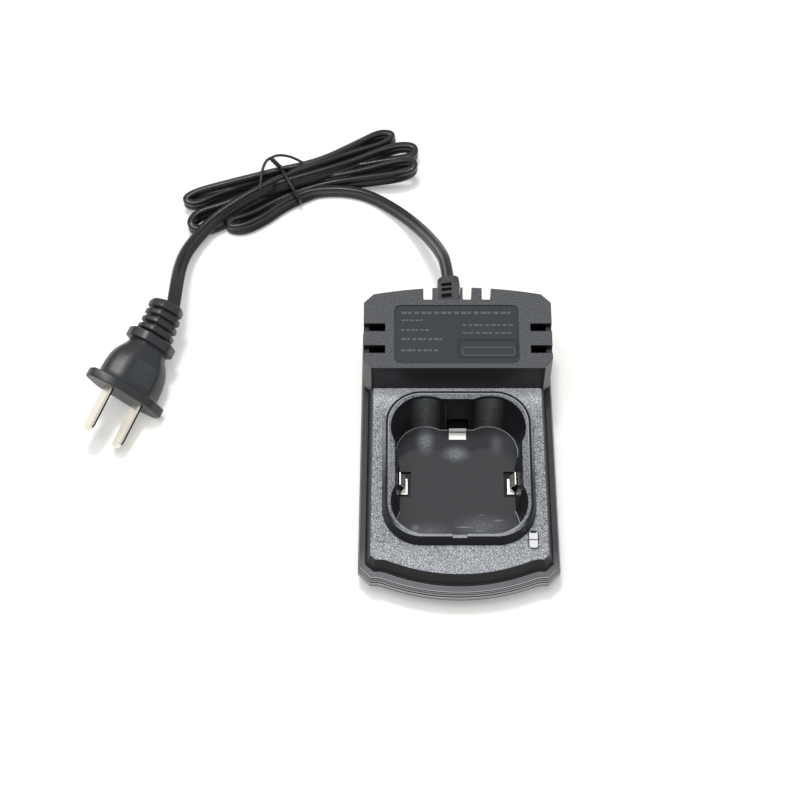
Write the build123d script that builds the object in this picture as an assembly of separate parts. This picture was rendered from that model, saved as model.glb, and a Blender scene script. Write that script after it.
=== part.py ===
from build123d import *
import os
from math import cos, radians, sin, sqrt, tan

# Power tool battery charger. Millimetres, +Z up, front of the case towards -Y, origin under the middle of the
# case on the surface that the feet rest on. The case opens along one parting line: a drafted top moulding
# with a raised rear block and a battery well, over an undercut tray. The flat cord leaves the rear wall, lies
# in a tied hank and ends in a moulded two-blade plug.

os.makedirs("parts", exist_ok=True)

# ---------------------------------------------------------------- driving dimensions: case
case_width = 69.6          # across the flange at the front
case_length = 110.0        # front bulge to rear of the flange
case_height = 34.0         # surface to top of the raised block
rear_narrowing = 1.0       # each side of the flange comes in by this at the rear
front_bulge = 5.4          # the front edge bows forward by this
rear_bulge = 2.8
front_corner_cut = 4.2
rear_corner_cut = 3.8
shoulder_length = 3.2      # straight stretch beside each front corner before the bow starts
shoulder_radius = 9.0
wall = 2.0

foot_height = 0.8
flange_bottom = 6.5
parting_height = 9.5
ledge_height = 12.5
plate_height = 19.2
tray_inset = 4.2           # the tray's underside stands in from the flange
lip_inset = 1.3            # top of the tray's sloped side, under the flange
band_draft = 0.7
ledge_width = 1.8
plate_inset = 4.4          # plate edge, in from the flange
tray_floor = 1.6
line_depth = 0.35          # parting groove
line_height = 0.5

# ---------------------------------------------------------------- driving dimensions: raised block
block_width = 66.2
block_length = 32.7
block_rear = case_length / 2 - 1.6
block_front = block_rear - block_length
block_rear_bulge = 2.8
block_corner_cut = 3.5
cheek_cut_x = 2.7          # slanted cheeks beside the front wall
cheek_cut_y = 4.0
bevel_width = 2.7
bevel_drop = 2.8
bevel_end = block_rear - 6.4
slot_places = (block_rear - 25.1, block_rear - 16.3)
slot_width = 3.1
slot_inner = block_width / 2 - 7.6
slot_bottom = 24.0
slot_lip = 0.15            # the slots' outer ends stop this far above the bevel's lower edge
notch_places = (-10.4, 3.5, 10.3)
notch_width = 3.2
notch_front = block_rear - 5.0
notch_bottom = 21.0
notch_corner = 0.4
label_size = (43.7, 23.5)
label_centre = (-0.4, block_rear - 19.0)
label_corner = 2.2
label_depth = 0.4
frame_size = (20.8, 7.6)
frame_centre = (10.4, block_rear - 24.7)
frame_line = 0.5

# ---------------------------------------------------------------- driving dimensions: battery well
rim_height = 24.3
lobe_radius = 12.2
lobe_x = case_width / 2 - lobe_radius - 11.3
rear_lobe_y = block_front - 17.85
front_lobe_y = -case_length / 2 + 29.2
waist_x = lobe_x + lobe_radius - 1.5     # flat panels between the lobes
rear_waist_y = rear_lobe_y + lobe_radius - 1.35
waist_blend = 1.6
well_draft = 1.6           # the well is this much narrower each side at its floor
liner_wall = 1.8
well_floor_thickness = 1.2
collar_rim = 1.9           # rim width outside the widest part of the well
collar_spread = 1.1        # the collar's foot stands out from its rim
collar_corner = 12.6
collar_edge = 0.7
rim_notch = (5.0, 0.9)

# ---------------------------------------------------------------- driving dimensions: contacts
leaf_thickness = 0.35
side_leaf_foot = 2.4
rear_leaf_foot = 3.9
leaf_bow = 1.8             # how far the leaf stands into the well
leaf_rise = 3.0            # base to the crown of the bow
leaf_height = 5.4
leaf_tip = 0.8             # upright end above the bow
leaf_tip_set = 0.2         # the upright end stands this far behind the foot's bend
leaf_bend = 0.8
side_leaf_width = 4.8
rear_leaf_width = 6.1
side_leaf_offset = 1.9     # behind the middle of the well's side panels
side_tab_width = 1.2       # solder tab in front of each side leaf
rear_leaf_x = 0.25
leaf_play = 0.3            # clearance round a leaf and under its foot
window_margin = 0.6
window_height = 8.0
pocket_length = 10.0       # openings in the floor round the side leaves
pocket_reach = 4.0

# ---------------------------------------------------------------- driving dimensions: indicator window
lens_centre = (case_width / 2 - 9.6, -case_length / 2 + 17.0)
lens_size = (3.2, 6.2)
lens_proud = 0.25
lens_depth = 2.4
lens_play = 0.08
lens_groove = 0.4
lamp_radius = 1.0
lamp_height = 3.0
lamp_pitch = 2.9
lamp_board_size = (5.0, 8.4, 1.0)
lamp_foot_height = 0.5     # rim at the bottom of each lamp
lamp_foot_spread = 0.2

# ---------------------------------------------------------------- driving dimensions: fasteners and feet
boss_radius = 2.7          # in the top moulding
tray_boss_radius = 3.6
screw_radius = 1.3
screw_head_radius = 2.3
screw_head_height = 1.6
screw_reach = 7.0          # thread above the parting line
screw_hole_play = 0.15
front_boss = (18.0, -case_length / 2 + 12.0)
rear_boss = (block_width / 2 - 5.9, block_rear - 8.4)
boss_web = 1.6             # rib from a rear boss to the side wall
foot_radius = 4.0
foot_recess = 0.5
foot_edge = 0.3
front_foot = (case_width / 2 - 10.8, -case_length / 2 + 23.0)
rear_foot = (case_width / 2 - 12.8, block_rear - 17.4)

# ---------------------------------------------------------------- driving dimensions: circuit
board_size = (46.0, 25.0)
board_centre = (0.0, block_rear - 16.9)
board_thickness = 1.6
board_height = 7.0
post_radius = 2.2
core_size = (17.0, 5.4, 14.4)            # transformer: width, depth, height
core_leg = 3.2
core_post = 4.2
bobbin_size = (10.2, 10.4, 0.9)          # flanges
bobbin_wall = 0.6
winding_inset = 0.3
winding_corner = 1.4
transistor_body = (8.0, 3.0, 9.0)
transistor_leads = (6.0, 0.8, 3.0)
sink_plate = (13.0, 1.4, 15.0)
sink_fin = (1.0, 2.8)
sink_fin_places = (-5.4, -1.8, 1.8, 5.4)
chip_body = (5.0, 4.0, 1.6)
chip_pin = (0.4, 1.0, 0.8)
chip_pitch = 1.27
chip_pins = 4
can_edge = 0.5
can_groove = 0.6
can_groove_height = 1.6
pin_width = 0.5
pin_reach = 1.4            # leads of the small barrels, beyond the barrel
choke_size = (5.0, 1.9, 3.4)
choke_base = (7.0, 4.0, 0.6)
choke_sink = 0.2           # the toroid is glued this deep into its base
choke_edge = 0.7
disc_size = (3.6, 2.6)
disc_edge = 0.7
disc_lift = 1.0
disc_pins = 4.4
input_can = (5.0, 14.0)                  # radius, height
output_can = (4.0, 12.0)
fuse_size = (1.6, 6.5)                   # radius, length
diode_size = (1.2, 4.0)
resistor_size = (0.9, 3.2)

# places on the board, from its middle
transformer_place = (2.0, 0.0)
input_can_place = (-15.0, 6.0)
output_can_place = (16.0, 6.0)
choke_place = (-15.0, -6.0)
fuse_place = (6.0, 10.0)
disc_place = (-8.2, 0.5)
diode_places = ((-3.8, -6.2), (-3.8, -9.2), (3.8, -6.2), (3.8, -9.2))
resistor_places = ((16.5, 11.4), (-16.0, -1.6), (-16.0, -11.0))
sink_place = (15.5, -8.5)
transistor_offset = 2.2
chip_place = (17.4, -1.6)

mains_radius = 0.9
mains_pitch = 2.4
mains_run = 2.2            # straight stretch out of the strain relief
wire_radius = 0.6
wire_bend = 1.2
wire_drop = 1.2            # the contact wires run this far below the board's top
wire_side = case_width / 2 - 7.6         # side run, between the well and the shell
lamp_wire_radius = 0.45
lamp_wire_bend = 2.5
lamp_wire_pitch = 1.3
wire_end_gap = 0.9         # a contact wire ends this far outside the well's foot

# ---------------------------------------------------------------- driving dimensions: cord and relief
cord_width = 5.0
cord_radius = cord_width / 2
relief_x = -2.95
relief_z = 28.0            # middle of the cord in the strain relief
relief_width = 7.6
relief_top = 0.4           # the body's top lies this far below the block's top
relief_drop = 5.6          # body below the cord's middle
relief_inside = 2.8
relief_outside = 2.8       # body outside the rear wall, up to its head
relief_corner = 1.2
relief_flange = (9.4, 8.0, 2.0)
relief_flange_drop = 0.8   # the inner flange sits this far below the cord's middle
relief_play = 0.2
relief_gap_width = 3.6     # slanted gaps between the ribs, cut from the top on one side
relief_gap_depth = 2.2
relief_gap_slant = 8.0
relief_gaps = ((-1.1, 1.9), (1.6, 1.2), (3.6, 1.3))     # place and length, from the wall's inner face
relief_head = (7.7, 9.0, 3.5)
relief_head_drop = 0.4
relief_head_corner = 2.0
relief_head_edge = 0.6
relief_head_turn = 8.0     # the head stands square to the cord

hank_height = 10.0
hank_edge = 2.4
hank_left = (-97.8, 104.2)
hank_tie = (-64.4, 116.4)
hank_right = (-20.4, 131.2)
hank_left_spread = 10.5
hank_tie_spread = 6.6
hank_right_spread = 12.6
hank_cord_round = 4.3      # radius at the corners of the bundle

tie_wire_radius = 0.7
tie_loop_margin = 0.15
tie_play = 0.05
tie_ground = 0.05          # the wire's clearance above the surface

# points of the lead, from the strain relief to the hank
lead_route = [
    (-2.9, 58.6, 28.0), (-3.6, 68.6, 26.0), (-5.9, 77.4, 20.7), (-9.6, 87.0, 14.2), (-14.6, 96.6, 8.2),
    (-21.6, 105.4, 4.2), (-30.6, 112.4, 2.6), (-40.6, 115.8, 2.6), (-50.4, 115.0, 2.6),
]

# points of the tail, from the plug to the hank
tail_route = [
    (-102.9, 54.6, 16.4), (-101.6, 60.6, 16.6), (-101.3, 67.8, 15.2), (-101.1, 76.0, 11.8),
    (-99.2, 84.8, 7.8), (-95.4, 93.2, 5.4), (-89.8, 100.4, 5.0),
]

# ---------------------------------------------------------------- driving dimensions: plug
plug_face = (-119.3, 20.8, 12.4)   # middle of the plug's front face
plug_heading = 24.5        # degrees from -Y towards -X
plug_pitch = -9.0          # blades point down by this
plug_roll = 40.0
blade_spacing = 12.7
blade_width = 6.3
blade_thickness = 1.5
blade_length = 17.0
blade_root = 9.0
plug_flange = (31.2, 13.4, 3.4)
body_width = 23.8
body_thickness = 12.6
body_length = 18.6
neck_width = 14.6
neck_thickness = 10.0
plug_collar = (18.6, 12.6, 3.5)
facet_share = 0.52
relief_core = (9.2, 6.2)
plug_rib_size = (13.4, 9.6, 1.7)
plug_rib_pitch = 3.2
plug_rib_count = 4
plug_bend = 12.0           # degrees that the ribbed sleeve flexes

corner_shrink = 2 - sqrt(2)
slack = 1.0                # cutters run past the faces that they cut
upright = (Align.CENTER, Align.CENTER, Align.MIN)


# ---------------------------------------------------------------- plan outlines
def case_plan(inset, z):
    """Flange outline moved in by inset, as a face at height z."""
    front_half = case_width / 2 - inset
    rear_half = front_half - rear_narrowing
    front_line = -case_length / 2 + front_bulge + inset
    front_mid = -case_length / 2 + inset
    rear_line = case_length / 2 - rear_bulge - inset
    rear_mid = case_length / 2 - inset
    front_cut = max(front_corner_cut - corner_shrink * inset, 0.6)
    rear_cut = rear_corner_cut - corner_shrink * inset
    bow_start = front_half - front_cut - shoulder_length
    rear_end = rear_half - rear_cut
    with BuildSketch() as outline:
        with BuildLine():
            Polyline(
                (bow_start, front_line),
                (front_half - front_cut, front_line),
                (front_half, front_line + front_cut),
                (rear_half, rear_line - rear_cut),
                (rear_end, rear_line),
            )
            ThreePointArc((rear_end, rear_line), (0, rear_mid), (-rear_end, rear_line))
            Polyline(
                (-rear_end, rear_line),
                (-rear_half, rear_line - rear_cut),
                (-front_half, front_line + front_cut),
                (-front_half + front_cut, front_line),
                (-bow_start, front_line),
            )
            ThreePointArc((-bow_start, front_line), (0, front_mid), (bow_start, front_line))
        make_face()
        shoulders = [v for v in outline.vertices() if abs(abs(v.X) - bow_start) < 0.01 and v.Y < 0]
        fillet(shoulders, shoulder_radius)
    return Pos(0, 0, z) * outline.sketch


def block_plan(inset, z):
    """Outline of the raised block moved in by inset, as a face at height z."""
    half = block_width / 2 - inset
    front = block_front + inset
    rear_line = block_rear - block_rear_bulge - inset
    rear_mid = block_rear - inset
    cut = block_corner_cut - corner_shrink * inset
    with BuildSketch() as outline:
        with BuildLine():
            Polyline(
                (-half + cut, rear_line),
                (-half, rear_line - cut),
                (-half, front + cheek_cut_y),
                (-half + cheek_cut_x, front),
                (half - cheek_cut_x, front),
                (half, front + cheek_cut_y),
                (half, rear_line - cut),
                (half - cut, rear_line),
            )
            ThreePointArc((half - cut, rear_line), (0, rear_mid), (-half + cut, rear_line))
        make_face()
    return Pos(0, 0, z) * outline.sketch


def well_plan(inset, z):
    """Four-lobed outline of the battery well moved in by inset."""
    radius = lobe_radius - inset
    outline = Sketch()
    for x in (-lobe_x, lobe_x):
        for y in (rear_lobe_y, front_lobe_y):
            outline += Pos(x, y) * Circle(radius)
    side_half = waist_x - inset
    rear_end = rear_waist_y - inset
    front_end = front_lobe_y - radius
    outline += Pos(0, (rear_lobe_y + front_lobe_y) / 2) * Rectangle(2 * side_half, rear_lobe_y - front_lobe_y)
    outline += Pos(0, (rear_end + front_end) / 2) * Rectangle(2 * lobe_x, rear_end - front_end)
    waists = [
        v for v in outline.vertices()
        if abs(abs(v.X) - side_half) < 0.01 or (abs(v.Y - rear_end) < 0.01 and abs(v.X) < lobe_x)
    ]
    outline = fillet(waists, waist_blend)
    return Pos(0, 0, z) * outline


def collar_plan(spread, z):
    """Rounded outline of the collar, spread out from its rim."""
    half = lobe_x + lobe_radius + collar_rim + spread
    rear = rear_lobe_y + lobe_radius + collar_rim + spread
    front = front_lobe_y - lobe_radius - collar_rim / 2 - spread
    return Pos(0, (rear + front) / 2, z) * RectangleRounded(2 * half, rear - front, collar_corner + spread)


def tower(*faces):
    """Straight-sided solid through faces at rising heights."""
    return loft(list(faces), ruled=True)


def lug_bar(width, depth, height, x, y, z):
    """Box standing on height z."""
    return Pos(x, y, z) * Box(width, depth, height, align=upright)


# ---------------------------------------------------------------- worked out from the driving dimensions
tray_top = foot_height + tray_floor
floor_top = tray_top + well_floor_thickness
ledge_inset = band_draft + ledge_width
boss_places = [(sx * x, y) for x, y in (front_boss, rear_boss) for sx in (-1, 1)]
foot_places = [(sx * x, y) for x, y in (front_foot, rear_foot) for sx in (-1, 1)]
side_leaf_y = (rear_lobe_y + front_lobe_y) / 2 + side_leaf_offset
rear_wall_y = block_rear - block_rear_bulge * (relief_x / (block_width / 2)) ** 2
board_top = board_height + board_thickness
tie_height = hank_height + tie_loop_margin - tie_ground


# ---------------------------------------------------------------- top housing
def make_bevel_cutter(side):
    """Wedge that takes the long top edge off the block and runs out before the rear corner."""
    outer = block_width / 2
    inner = outer - bevel_width
    over = 4.0
    slope = bevel_drop / bevel_width
    section = Plane.XZ * Polygon(
        (inner, case_height),
        (inner, case_height + over),
        (outer + over, case_height + over),
        (outer + over, case_height - bevel_drop - slope * over),
        align=None,
    )
    wedge = Pos(0, bevel_end + over) * extrude(section, amount=bevel_end + over - block_front + over)
    cut = Plane(origin=(outer, bevel_end, case_height), z_dir=(3.0, -bevel_width, bevel_drop))
    wedge = split(wedge, bisect_by=cut, keep=Keep.TOP)
    return wedge if side > 0 else mirror(wedge, about=Plane.YZ)


def make_leaf_window(width, x, y, turn):
    """Opening through the well's wall that a contact leaf bends into."""
    depth = 2 * (liner_wall + well_draft)
    box = Box(width + 2 * window_margin, depth, window_height, align=upright)
    return Pos(x, y, tray_top) * Rot(0, 0, turn) * box


def make_notch(width, corner):
    """Cutter for a notch that is open to the rear and above, its front wall at y = 0."""
    outline = Pos(0, block_rear / 2) * Rectangle(width, block_rear)
    outline = fillet(outline.vertices().group_by(Axis.Y)[0], corner)
    return extrude(outline, amount=case_height)


def make_top_housing():
    band = tower(case_plan(0, parting_height), case_plan(band_draft, ledge_height))
    deck = tower(case_plan(ledge_inset, ledge_height), case_plan(plate_inset, plate_height))
    block = extrude(block_plan(0, parting_height), amount=case_height - parting_height)
    collar = tower(collar_plan(collar_spread, plate_height), collar_plan(0, rim_height))
    collar = fillet(collar.faces().sort_by(Axis.Z)[-1].edges(), collar_edge)
    shell = band + deck + block + collar
    shell -= make_bevel_cutter(1)
    shell -= make_bevel_cutter(-1)

    hollow = extrude(case_plan(ledge_inset + wall, parting_height), amount=ledge_height - parting_height)
    hollow += tower(
        case_plan(ledge_inset + wall, ledge_height),
        case_plan(plate_inset + wall, plate_height - wall),
    )
    hollow += extrude(block_plan(wall, parting_height), amount=case_height - wall - parting_height)
    shell -= hollow

    rim_span = rim_height - tray_top
    top_inset = well_draft * (rim_height - plate_height + wall) / rim_span
    liner = tower(
        well_plan(well_draft - liner_wall, tray_top),
        well_plan(top_inset - liner_wall, plate_height - wall),
    )
    shell += liner
    for x, y in boss_places:
        boss = Pos(x, y, parting_height) * Cylinder(
            boss_radius, plate_height - wall / 2 - parting_height, align=upright
        )
        shell += boss
        if y > 0:
            reach = block_width / 2 - wall / 2 - abs(x)
            web = lug_bar(reach, boss_web, plate_height - wall / 2 - parting_height, 0, 0, parting_height)
            shell += Pos(x + (reach / 2 if x > 0 else -reach / 2), y) * web
    well = tower(well_plan(well_draft, tray_top), well_plan(0, rim_height))
    shell -= well
    for x, y in boss_places:
        shell -= Pos(x, y, parting_height) * Cylinder(
            screw_radius, screw_reach, align=upright
        )

    slot_span = block_width / 2 - bevel_width - slot_inner
    slot_floor = case_height - bevel_drop + slot_lip
    for side in (-1, 1):
        for y in slot_places:
            middle = side * (slot_inner + slot_span / 2)
            shell -= lug_bar(slot_span, slot_width, case_height, middle, y, slot_bottom)
            shell -= lug_bar(2 * bevel_width, slot_width, case_height, side * block_width / 2, y, slot_floor)
        shell -= make_leaf_window(side_leaf_width, side * (waist_x - well_draft / 2), side_leaf_y, 90)
    shell -= make_leaf_window(rear_leaf_width, rear_leaf_x, rear_waist_y - well_draft / 2, 0)
    for x in notch_places:
        shell -= Pos(x, notch_front, notch_bottom) * make_notch(notch_width, notch_corner)
    seat_width = relief_width + 2 * relief_play
    seat_front = rear_wall_y - wall - relief_inside - relief_play
    seat_bottom = relief_z - relief_drop - relief_play
    shell -= Pos(relief_x, seat_front, seat_bottom) * make_notch(seat_width, relief_corner + relief_play)
    notch_y = front_lobe_y - lobe_radius
    shell -= lug_bar(rim_notch[0], 2 * collar_rim, case_height, 0, notch_y, rim_height - rim_notch[1])

    recess = RectangleRounded(*label_size, label_corner)
    shell -= Pos(*label_centre, case_height - label_depth) * extrude(recess, amount=slack)
    outer = Rectangle(*frame_size)
    inner = Rectangle(frame_size[0] - 2 * frame_line, frame_size[1] - 2 * frame_line)
    shell += Pos(*frame_centre, case_height - label_depth) * extrude(outer - inner, amount=label_depth / 2)

    hole = lens_size[0] + 2 * lens_play, lens_size[1] + 2 * lens_play
    shell -= Pos(*lens_centre, plate_height - wall - slack) * Box(
        *hole, wall + 2 * slack, align=upright
    )
    return shell


# ---------------------------------------------------------------- bottom housing
def make_bottom_housing():
    slope_span = flange_bottom - foot_height
    tray = tower(case_plan(tray_inset, foot_height), case_plan(lip_inset, flange_bottom))
    tray += extrude(case_plan(0, flange_bottom), amount=parting_height - flange_bottom)
    rise = (tray_top - foot_height) / slope_span
    low_inset = tray_inset - (tray_inset - lip_inset) * rise + wall
    tray -= tower(case_plan(low_inset, tray_top), case_plan(lip_inset + wall, flange_bottom))
    tray -= extrude(case_plan(lip_inset + wall, flange_bottom), amount=parting_height - flange_bottom)
    groove = extrude(case_plan(-slack, parting_height - line_height), amount=line_height)
    groove -= extrude(case_plan(line_depth, parting_height - line_height), amount=line_height)
    tray -= groove
    for x, y in boss_places:
        tray += Pos(x, y, tray_top) * Cylinder(
            tray_boss_radius, parting_height - tray_top, align=upright
        )
    for x, y in boss_places:
        tray -= Pos(x, y, foot_height) * Cylinder(
            screw_radius + screw_hole_play, parting_height, align=upright
        )
        tray -= Pos(x, y, foot_height) * Cylinder(
            screw_head_radius + screw_hole_play, screw_head_height + tray_floor,
            align=upright,
        )
    for x, y in board_posts():
        tray += Pos(x, y, tray_top) * Cylinder(
            post_radius, board_height - tray_top, align=upright
        )
    tray += Pos(lens_centre[0], lens_centre[1], tray_top) * Box(
        lamp_board_size[0], lamp_board_size[1], lamp_board_bottom() - tray_top,
        align=upright,
    )
    for x, y in foot_places:
        tray -= Pos(x, y, foot_height) * Cylinder(
            foot_radius, foot_recess, align=upright
        )
    return tray


def board_posts():
    """Corners where the board rests on the tray."""
    dx = board_size[0] / 2 - post_radius
    dy = board_size[1] / 2 - post_radius
    return [(board_centre[0] + sx * dx, board_centre[1] + sy * dy) for sx in (-1, 1) for sy in (-1, 1)]


def lamp_board_bottom():
    return plate_height + lens_proud - lens_depth - lamp_height - lamp_board_size[2]


def make_well_floor():
    floor = extrude(well_plan(well_draft, tray_top), amount=well_floor_thickness)
    for side in (-1, 1):
        edge = side * (waist_x - well_draft)
        floor -= lug_bar(2 * pocket_reach, pocket_length, case_height, edge, side_leaf_y, tray_top)
    return floor


# ---------------------------------------------------------------- contacts
def make_leaf(width, foot, base):
    """Leaf for a wall on the +X side: foot over its base, crown standing in the well, tip in the window."""
    low = base + leaf_play + leaf_thickness / 2
    top = base + leaf_height
    with BuildPart() as leaf:
        with BuildLine(Plane.XZ) as spine:
            FilletPolyline(
                (-foot, low),
                (0, low),
                (-leaf_bow, base + leaf_rise),
                (leaf_tip_set, top),
                (leaf_tip_set, top + leaf_tip),
                radius=leaf_bend,
            )
        with BuildSketch(Plane(origin=spine.line @ 0, z_dir=spine.line % 0, x_dir=(0, 1, 0))):
            Rectangle(width, leaf_thickness)
        sweep(transition=Transition.ROUND)
    return leaf.part


def side_leaf(side):
    """Leaf at the side of the well, with a solder tab in front of its foot."""
    leaf = make_leaf(side_leaf_width, side_leaf_foot, tray_top)
    tab_y = -(side_leaf_width + side_tab_width) / 2
    tab = Box(side_leaf_foot, side_tab_width, leaf_thickness, align=upright)
    leaf += Pos(-side_leaf_foot / 2, tab_y, tray_top + leaf_play) * tab
    leaf = Pos(waist_x - well_draft - leaf_play, side_leaf_y, 0) * leaf
    return leaf if side > 0 else mirror(leaf, about=Plane.YZ)


def rear_leaf():
    leaf = Rot(0, 0, 90) * make_leaf(rear_leaf_width, rear_leaf_foot, floor_top)
    return Pos(rear_leaf_x, rear_waist_y - well_draft - leaf_play, 0) * leaf


# ---------------------------------------------------------------- indicator
def make_lens():
    body = Box(*lens_size, lens_depth, align=(Align.CENTER, Align.CENTER, Align.MAX))
    body = fillet(body.edges().filter_by(Axis.Z), 0.4)
    body -= Box(lens_size[0], lens_groove, lens_proud, align=(Align.CENTER, Align.CENTER, Align.MAX))
    return Pos(*lens_centre, plate_height + lens_proud) * body


def make_lamp(offset):
    top = plate_height + lens_proud - lens_depth
    body = Cylinder(lamp_radius, lamp_height, align=(Align.CENTER, Align.CENTER, Align.MAX))
    foot = Cylinder(lamp_radius + lamp_foot_spread, lamp_foot_height, align=upright)
    body += Pos(0, 0, -lamp_height) * foot
    return Pos(lens_centre[0], lens_centre[1] + offset, top) * body


def make_lamp_board():
    return lug_bar(*lamp_board_size, *lens_centre, lamp_board_bottom())


# ---------------------------------------------------------------- fasteners and feet
def make_screw():
    head_bottom = foot_height + tray_floor
    head = Cylinder(screw_head_radius, screw_head_height, align=upright)
    head -= Cylinder(0.5, screw_head_height / 2, align=upright)
    length = parting_height + screw_reach - head_bottom - screw_head_height
    shank = Pos(0, 0, screw_head_height) * Cylinder(
        screw_radius, length - 0.3, align=upright
    )
    return Pos(0, 0, head_bottom) * (head + shank)


def make_foot():
    foot = Cylinder(foot_radius, foot_height + foot_recess, align=upright)
    return chamfer(foot.edges().sort_by(Axis.Z)[0], foot_edge)


# ---------------------------------------------------------------- circuit
def make_board():
    board = lug_bar(*board_size, board_thickness, *board_centre, board_height)
    return board


def on_board(x, y, shape):
    return Pos(board_centre[0] + x, board_centre[1] + y, board_top) * shape


def make_transformer_core():
    side, depth, height = core_size
    window = Box(side - 2 * core_leg, depth, height - 2 * core_leg, align=upright)
    core = Box(side, depth, height, align=upright) - Pos(0, 0, core_leg) * window
    return core + Pos(0, 0, core_leg) * Box(core_post, depth, height - 2 * core_leg, align=upright)


def make_transformer():
    """Core, bobbin and winding."""
    depth = core_size[1]
    inner = core_size[2] - 2 * core_leg
    flange = Box(*bobbin_size, align=upright)
    tube_width = core_post + 2 * bobbin_wall
    tube = Box(tube_width, depth + 2 * bobbin_wall, inner, align=upright)
    bobbin = flange + Pos(0, 0, inner - bobbin_size[2]) * flange + tube
    bobbin -= Box(core_post, depth, inner, align=upright)
    winding = Pos(0, 0, bobbin_size[2]) * Box(
        bobbin_size[0] - 2 * winding_inset,
        bobbin_size[1] - 2 * winding_inset,
        inner - 2 * bobbin_size[2],
        align=upright,
    )
    winding = fillet(winding.edges().filter_by(Axis.Z), winding_corner)
    lift = Pos(0, 0, core_leg)
    return make_transformer_core(), lift * bobbin, lift * (winding - tube)


def make_can(radius, height):
    can = Cylinder(radius, height, align=upright)
    can = chamfer(can.edges().sort_by(Axis.Z)[-1], can_edge)
    ring = Cylinder(radius, can_groove) - Cylinder(radius - can_groove / 2, can_groove)
    return can - Pos(0, 0, can_groove_height) * ring


def make_axial(radius, length):
    """Small barrel lying on the board along X, with its two leads bent down to the board."""
    barrel = Pos(0, 0, radius) * Rot(0, 90, 0) * Cylinder(radius, length)
    reach = length + 2 * pin_reach
    barrel += Pos(0, 0, radius) * Box(reach, pin_width, pin_width)
    for side in (-1, 1):
        barrel += Pos(side * (reach - pin_width) / 2, 0, 0) * Box(pin_width, pin_width, radius, align=upright)
    return barrel


def make_choke():
    """Toroid standing on its base plate."""
    radius, hole, thickness = choke_size
    tall = Pos(0, 0, choke_base[2] + radius - choke_sink) * Rot(90, 0, 0)
    ring = chamfer(Cylinder(radius, thickness).edges(), choke_edge) - Cylinder(hole, 2 * thickness)
    return tall * ring + Box(*choke_base, align=upright)


def make_disc_capacitor():
    radius, thickness = disc_size
    disc = chamfer(Cylinder(radius, thickness).edges(), disc_edge)
    disc = Pos(0, 0, disc_lift + radius) * Rot(90, 0, 0) * disc
    pin = Box(pin_width, pin_width, disc_lift + radius / 2, align=upright)
    for side in (-1, 1):
        disc += Pos(side * disc_pins / 2, 0, 0) * pin
    return disc


def make_transistor():
    body = Box(*transistor_body, align=upright)
    return Pos(0, 0, transistor_leads[2]) * body + Box(*transistor_leads, align=upright)


def make_heat_sink():
    plate = Box(*sink_plate, align=upright)
    fin_y = (sink_plate[1] + sink_fin[1]) / 2
    for x in sink_fin_places:
        plate += Pos(x, fin_y, 0) * Box(*sink_fin, sink_plate[2], align=upright)
    return plate


def make_chip():
    chip = Box(*chip_body, align=upright)
    for i in range(chip_pins):
        x = chip_pitch * (i - (chip_pins - 1) / 2)
        for side in (-1, 1):
            chip += Pos(x, side * (chip_body[1] + chip_pin[1]) / 2, 0) * Box(*chip_pin, align=upright)
    return chip


def wire(points, radius, bend):
    """Six-sided wire along straight runs with one bend radius."""
    path = FilletPolyline(*points, radius=bend)
    section = Plane(origin=path @ 0, z_dir=path % 0) * RegularPolygon(radius, 6)
    return sweep(section, path=path)


# ---------------------------------------------------------------- strain relief
def make_relief():
    """Moulded sleeve, built with its inner end at y = 0 and the cord's middle at z = 0."""
    body_top = case_height - relief_top - relief_z
    body_length = relief_inside + wall + relief_outside
    body = Pos(0, body_length / 2, -relief_drop) * Box(
        relief_width, body_length, relief_drop + body_top, align=upright
    )
    body = fillet(body.edges().filter_by(Axis.Z).group_by(Axis.Y)[0], relief_corner)
    gap_x = (relief_gap_width - relief_width) / 2 + relief_corner
    for place, length in relief_gaps:
        gap = Rot(0, 0, relief_gap_slant) * Box(relief_gap_width, length, 2 * relief_gap_depth)
        body -= Pos(gap_x, relief_inside + place, body_top) * gap
    flange_y = relief_inside - relief_play - relief_flange[2] / 2
    flange = Pos(0, flange_y, -relief_flange_drop) * Box(relief_flange[0], relief_flange[2], relief_flange[1])
    outline = RectangleRounded(relief_head[0], relief_head[1], relief_head_corner)
    head = extrude(outline, amount=relief_head[2] / 2, both=True)
    head = chamfer(head.edges().group_by(Axis.Z)[-1], relief_head_edge)
    head = Rot(0, 0, relief_head_turn) * Rot(-90, 0, 0) * head
    head = Pos(0, body_length + relief_head[2] / 2, -relief_head_drop) * head
    inner_y = rear_wall_y - wall - relief_inside
    return Pos(relief_x, inner_y, relief_z) * (body + flange + head)


# ---------------------------------------------------------------- cord
def cord_tube(name, points):
    """Round tube on straight runs and tangent arcs, each arc as large as its runs allow."""
    vectors = [Vector(*p) for p in points]
    radii = []
    for before, here, after in zip(vectors, vectors[1:], vectors[2:]):
        turn = (here - before).get_angle(after - here)
        shorter = min((here - before).length, (after - here).length)
        radii.append(0.45 * shorter / tan(radians(turn / 2)))
    path = FilletPolyline(*vectors, radius=radii)
    section = Plane(origin=path @ 0, z_dir=path % 0) * Circle(cord_radius)
    tube = sweep(section, path=path)
    print(name, "radii", [round(r, 1) for r in radii], "length", round(path.length, 1))
    print(name, "volume", round(tube.volume, 1), "section times length", round(section.area * path.length, 1))
    return tube


def trimmed(tube, *ends):
    """Tube cut off at the faces of the pieces that it runs into."""
    for piece in ends:
        tube -= piece
    return tube.solids().sort_by(SortBy.VOLUME)[-1]


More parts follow.
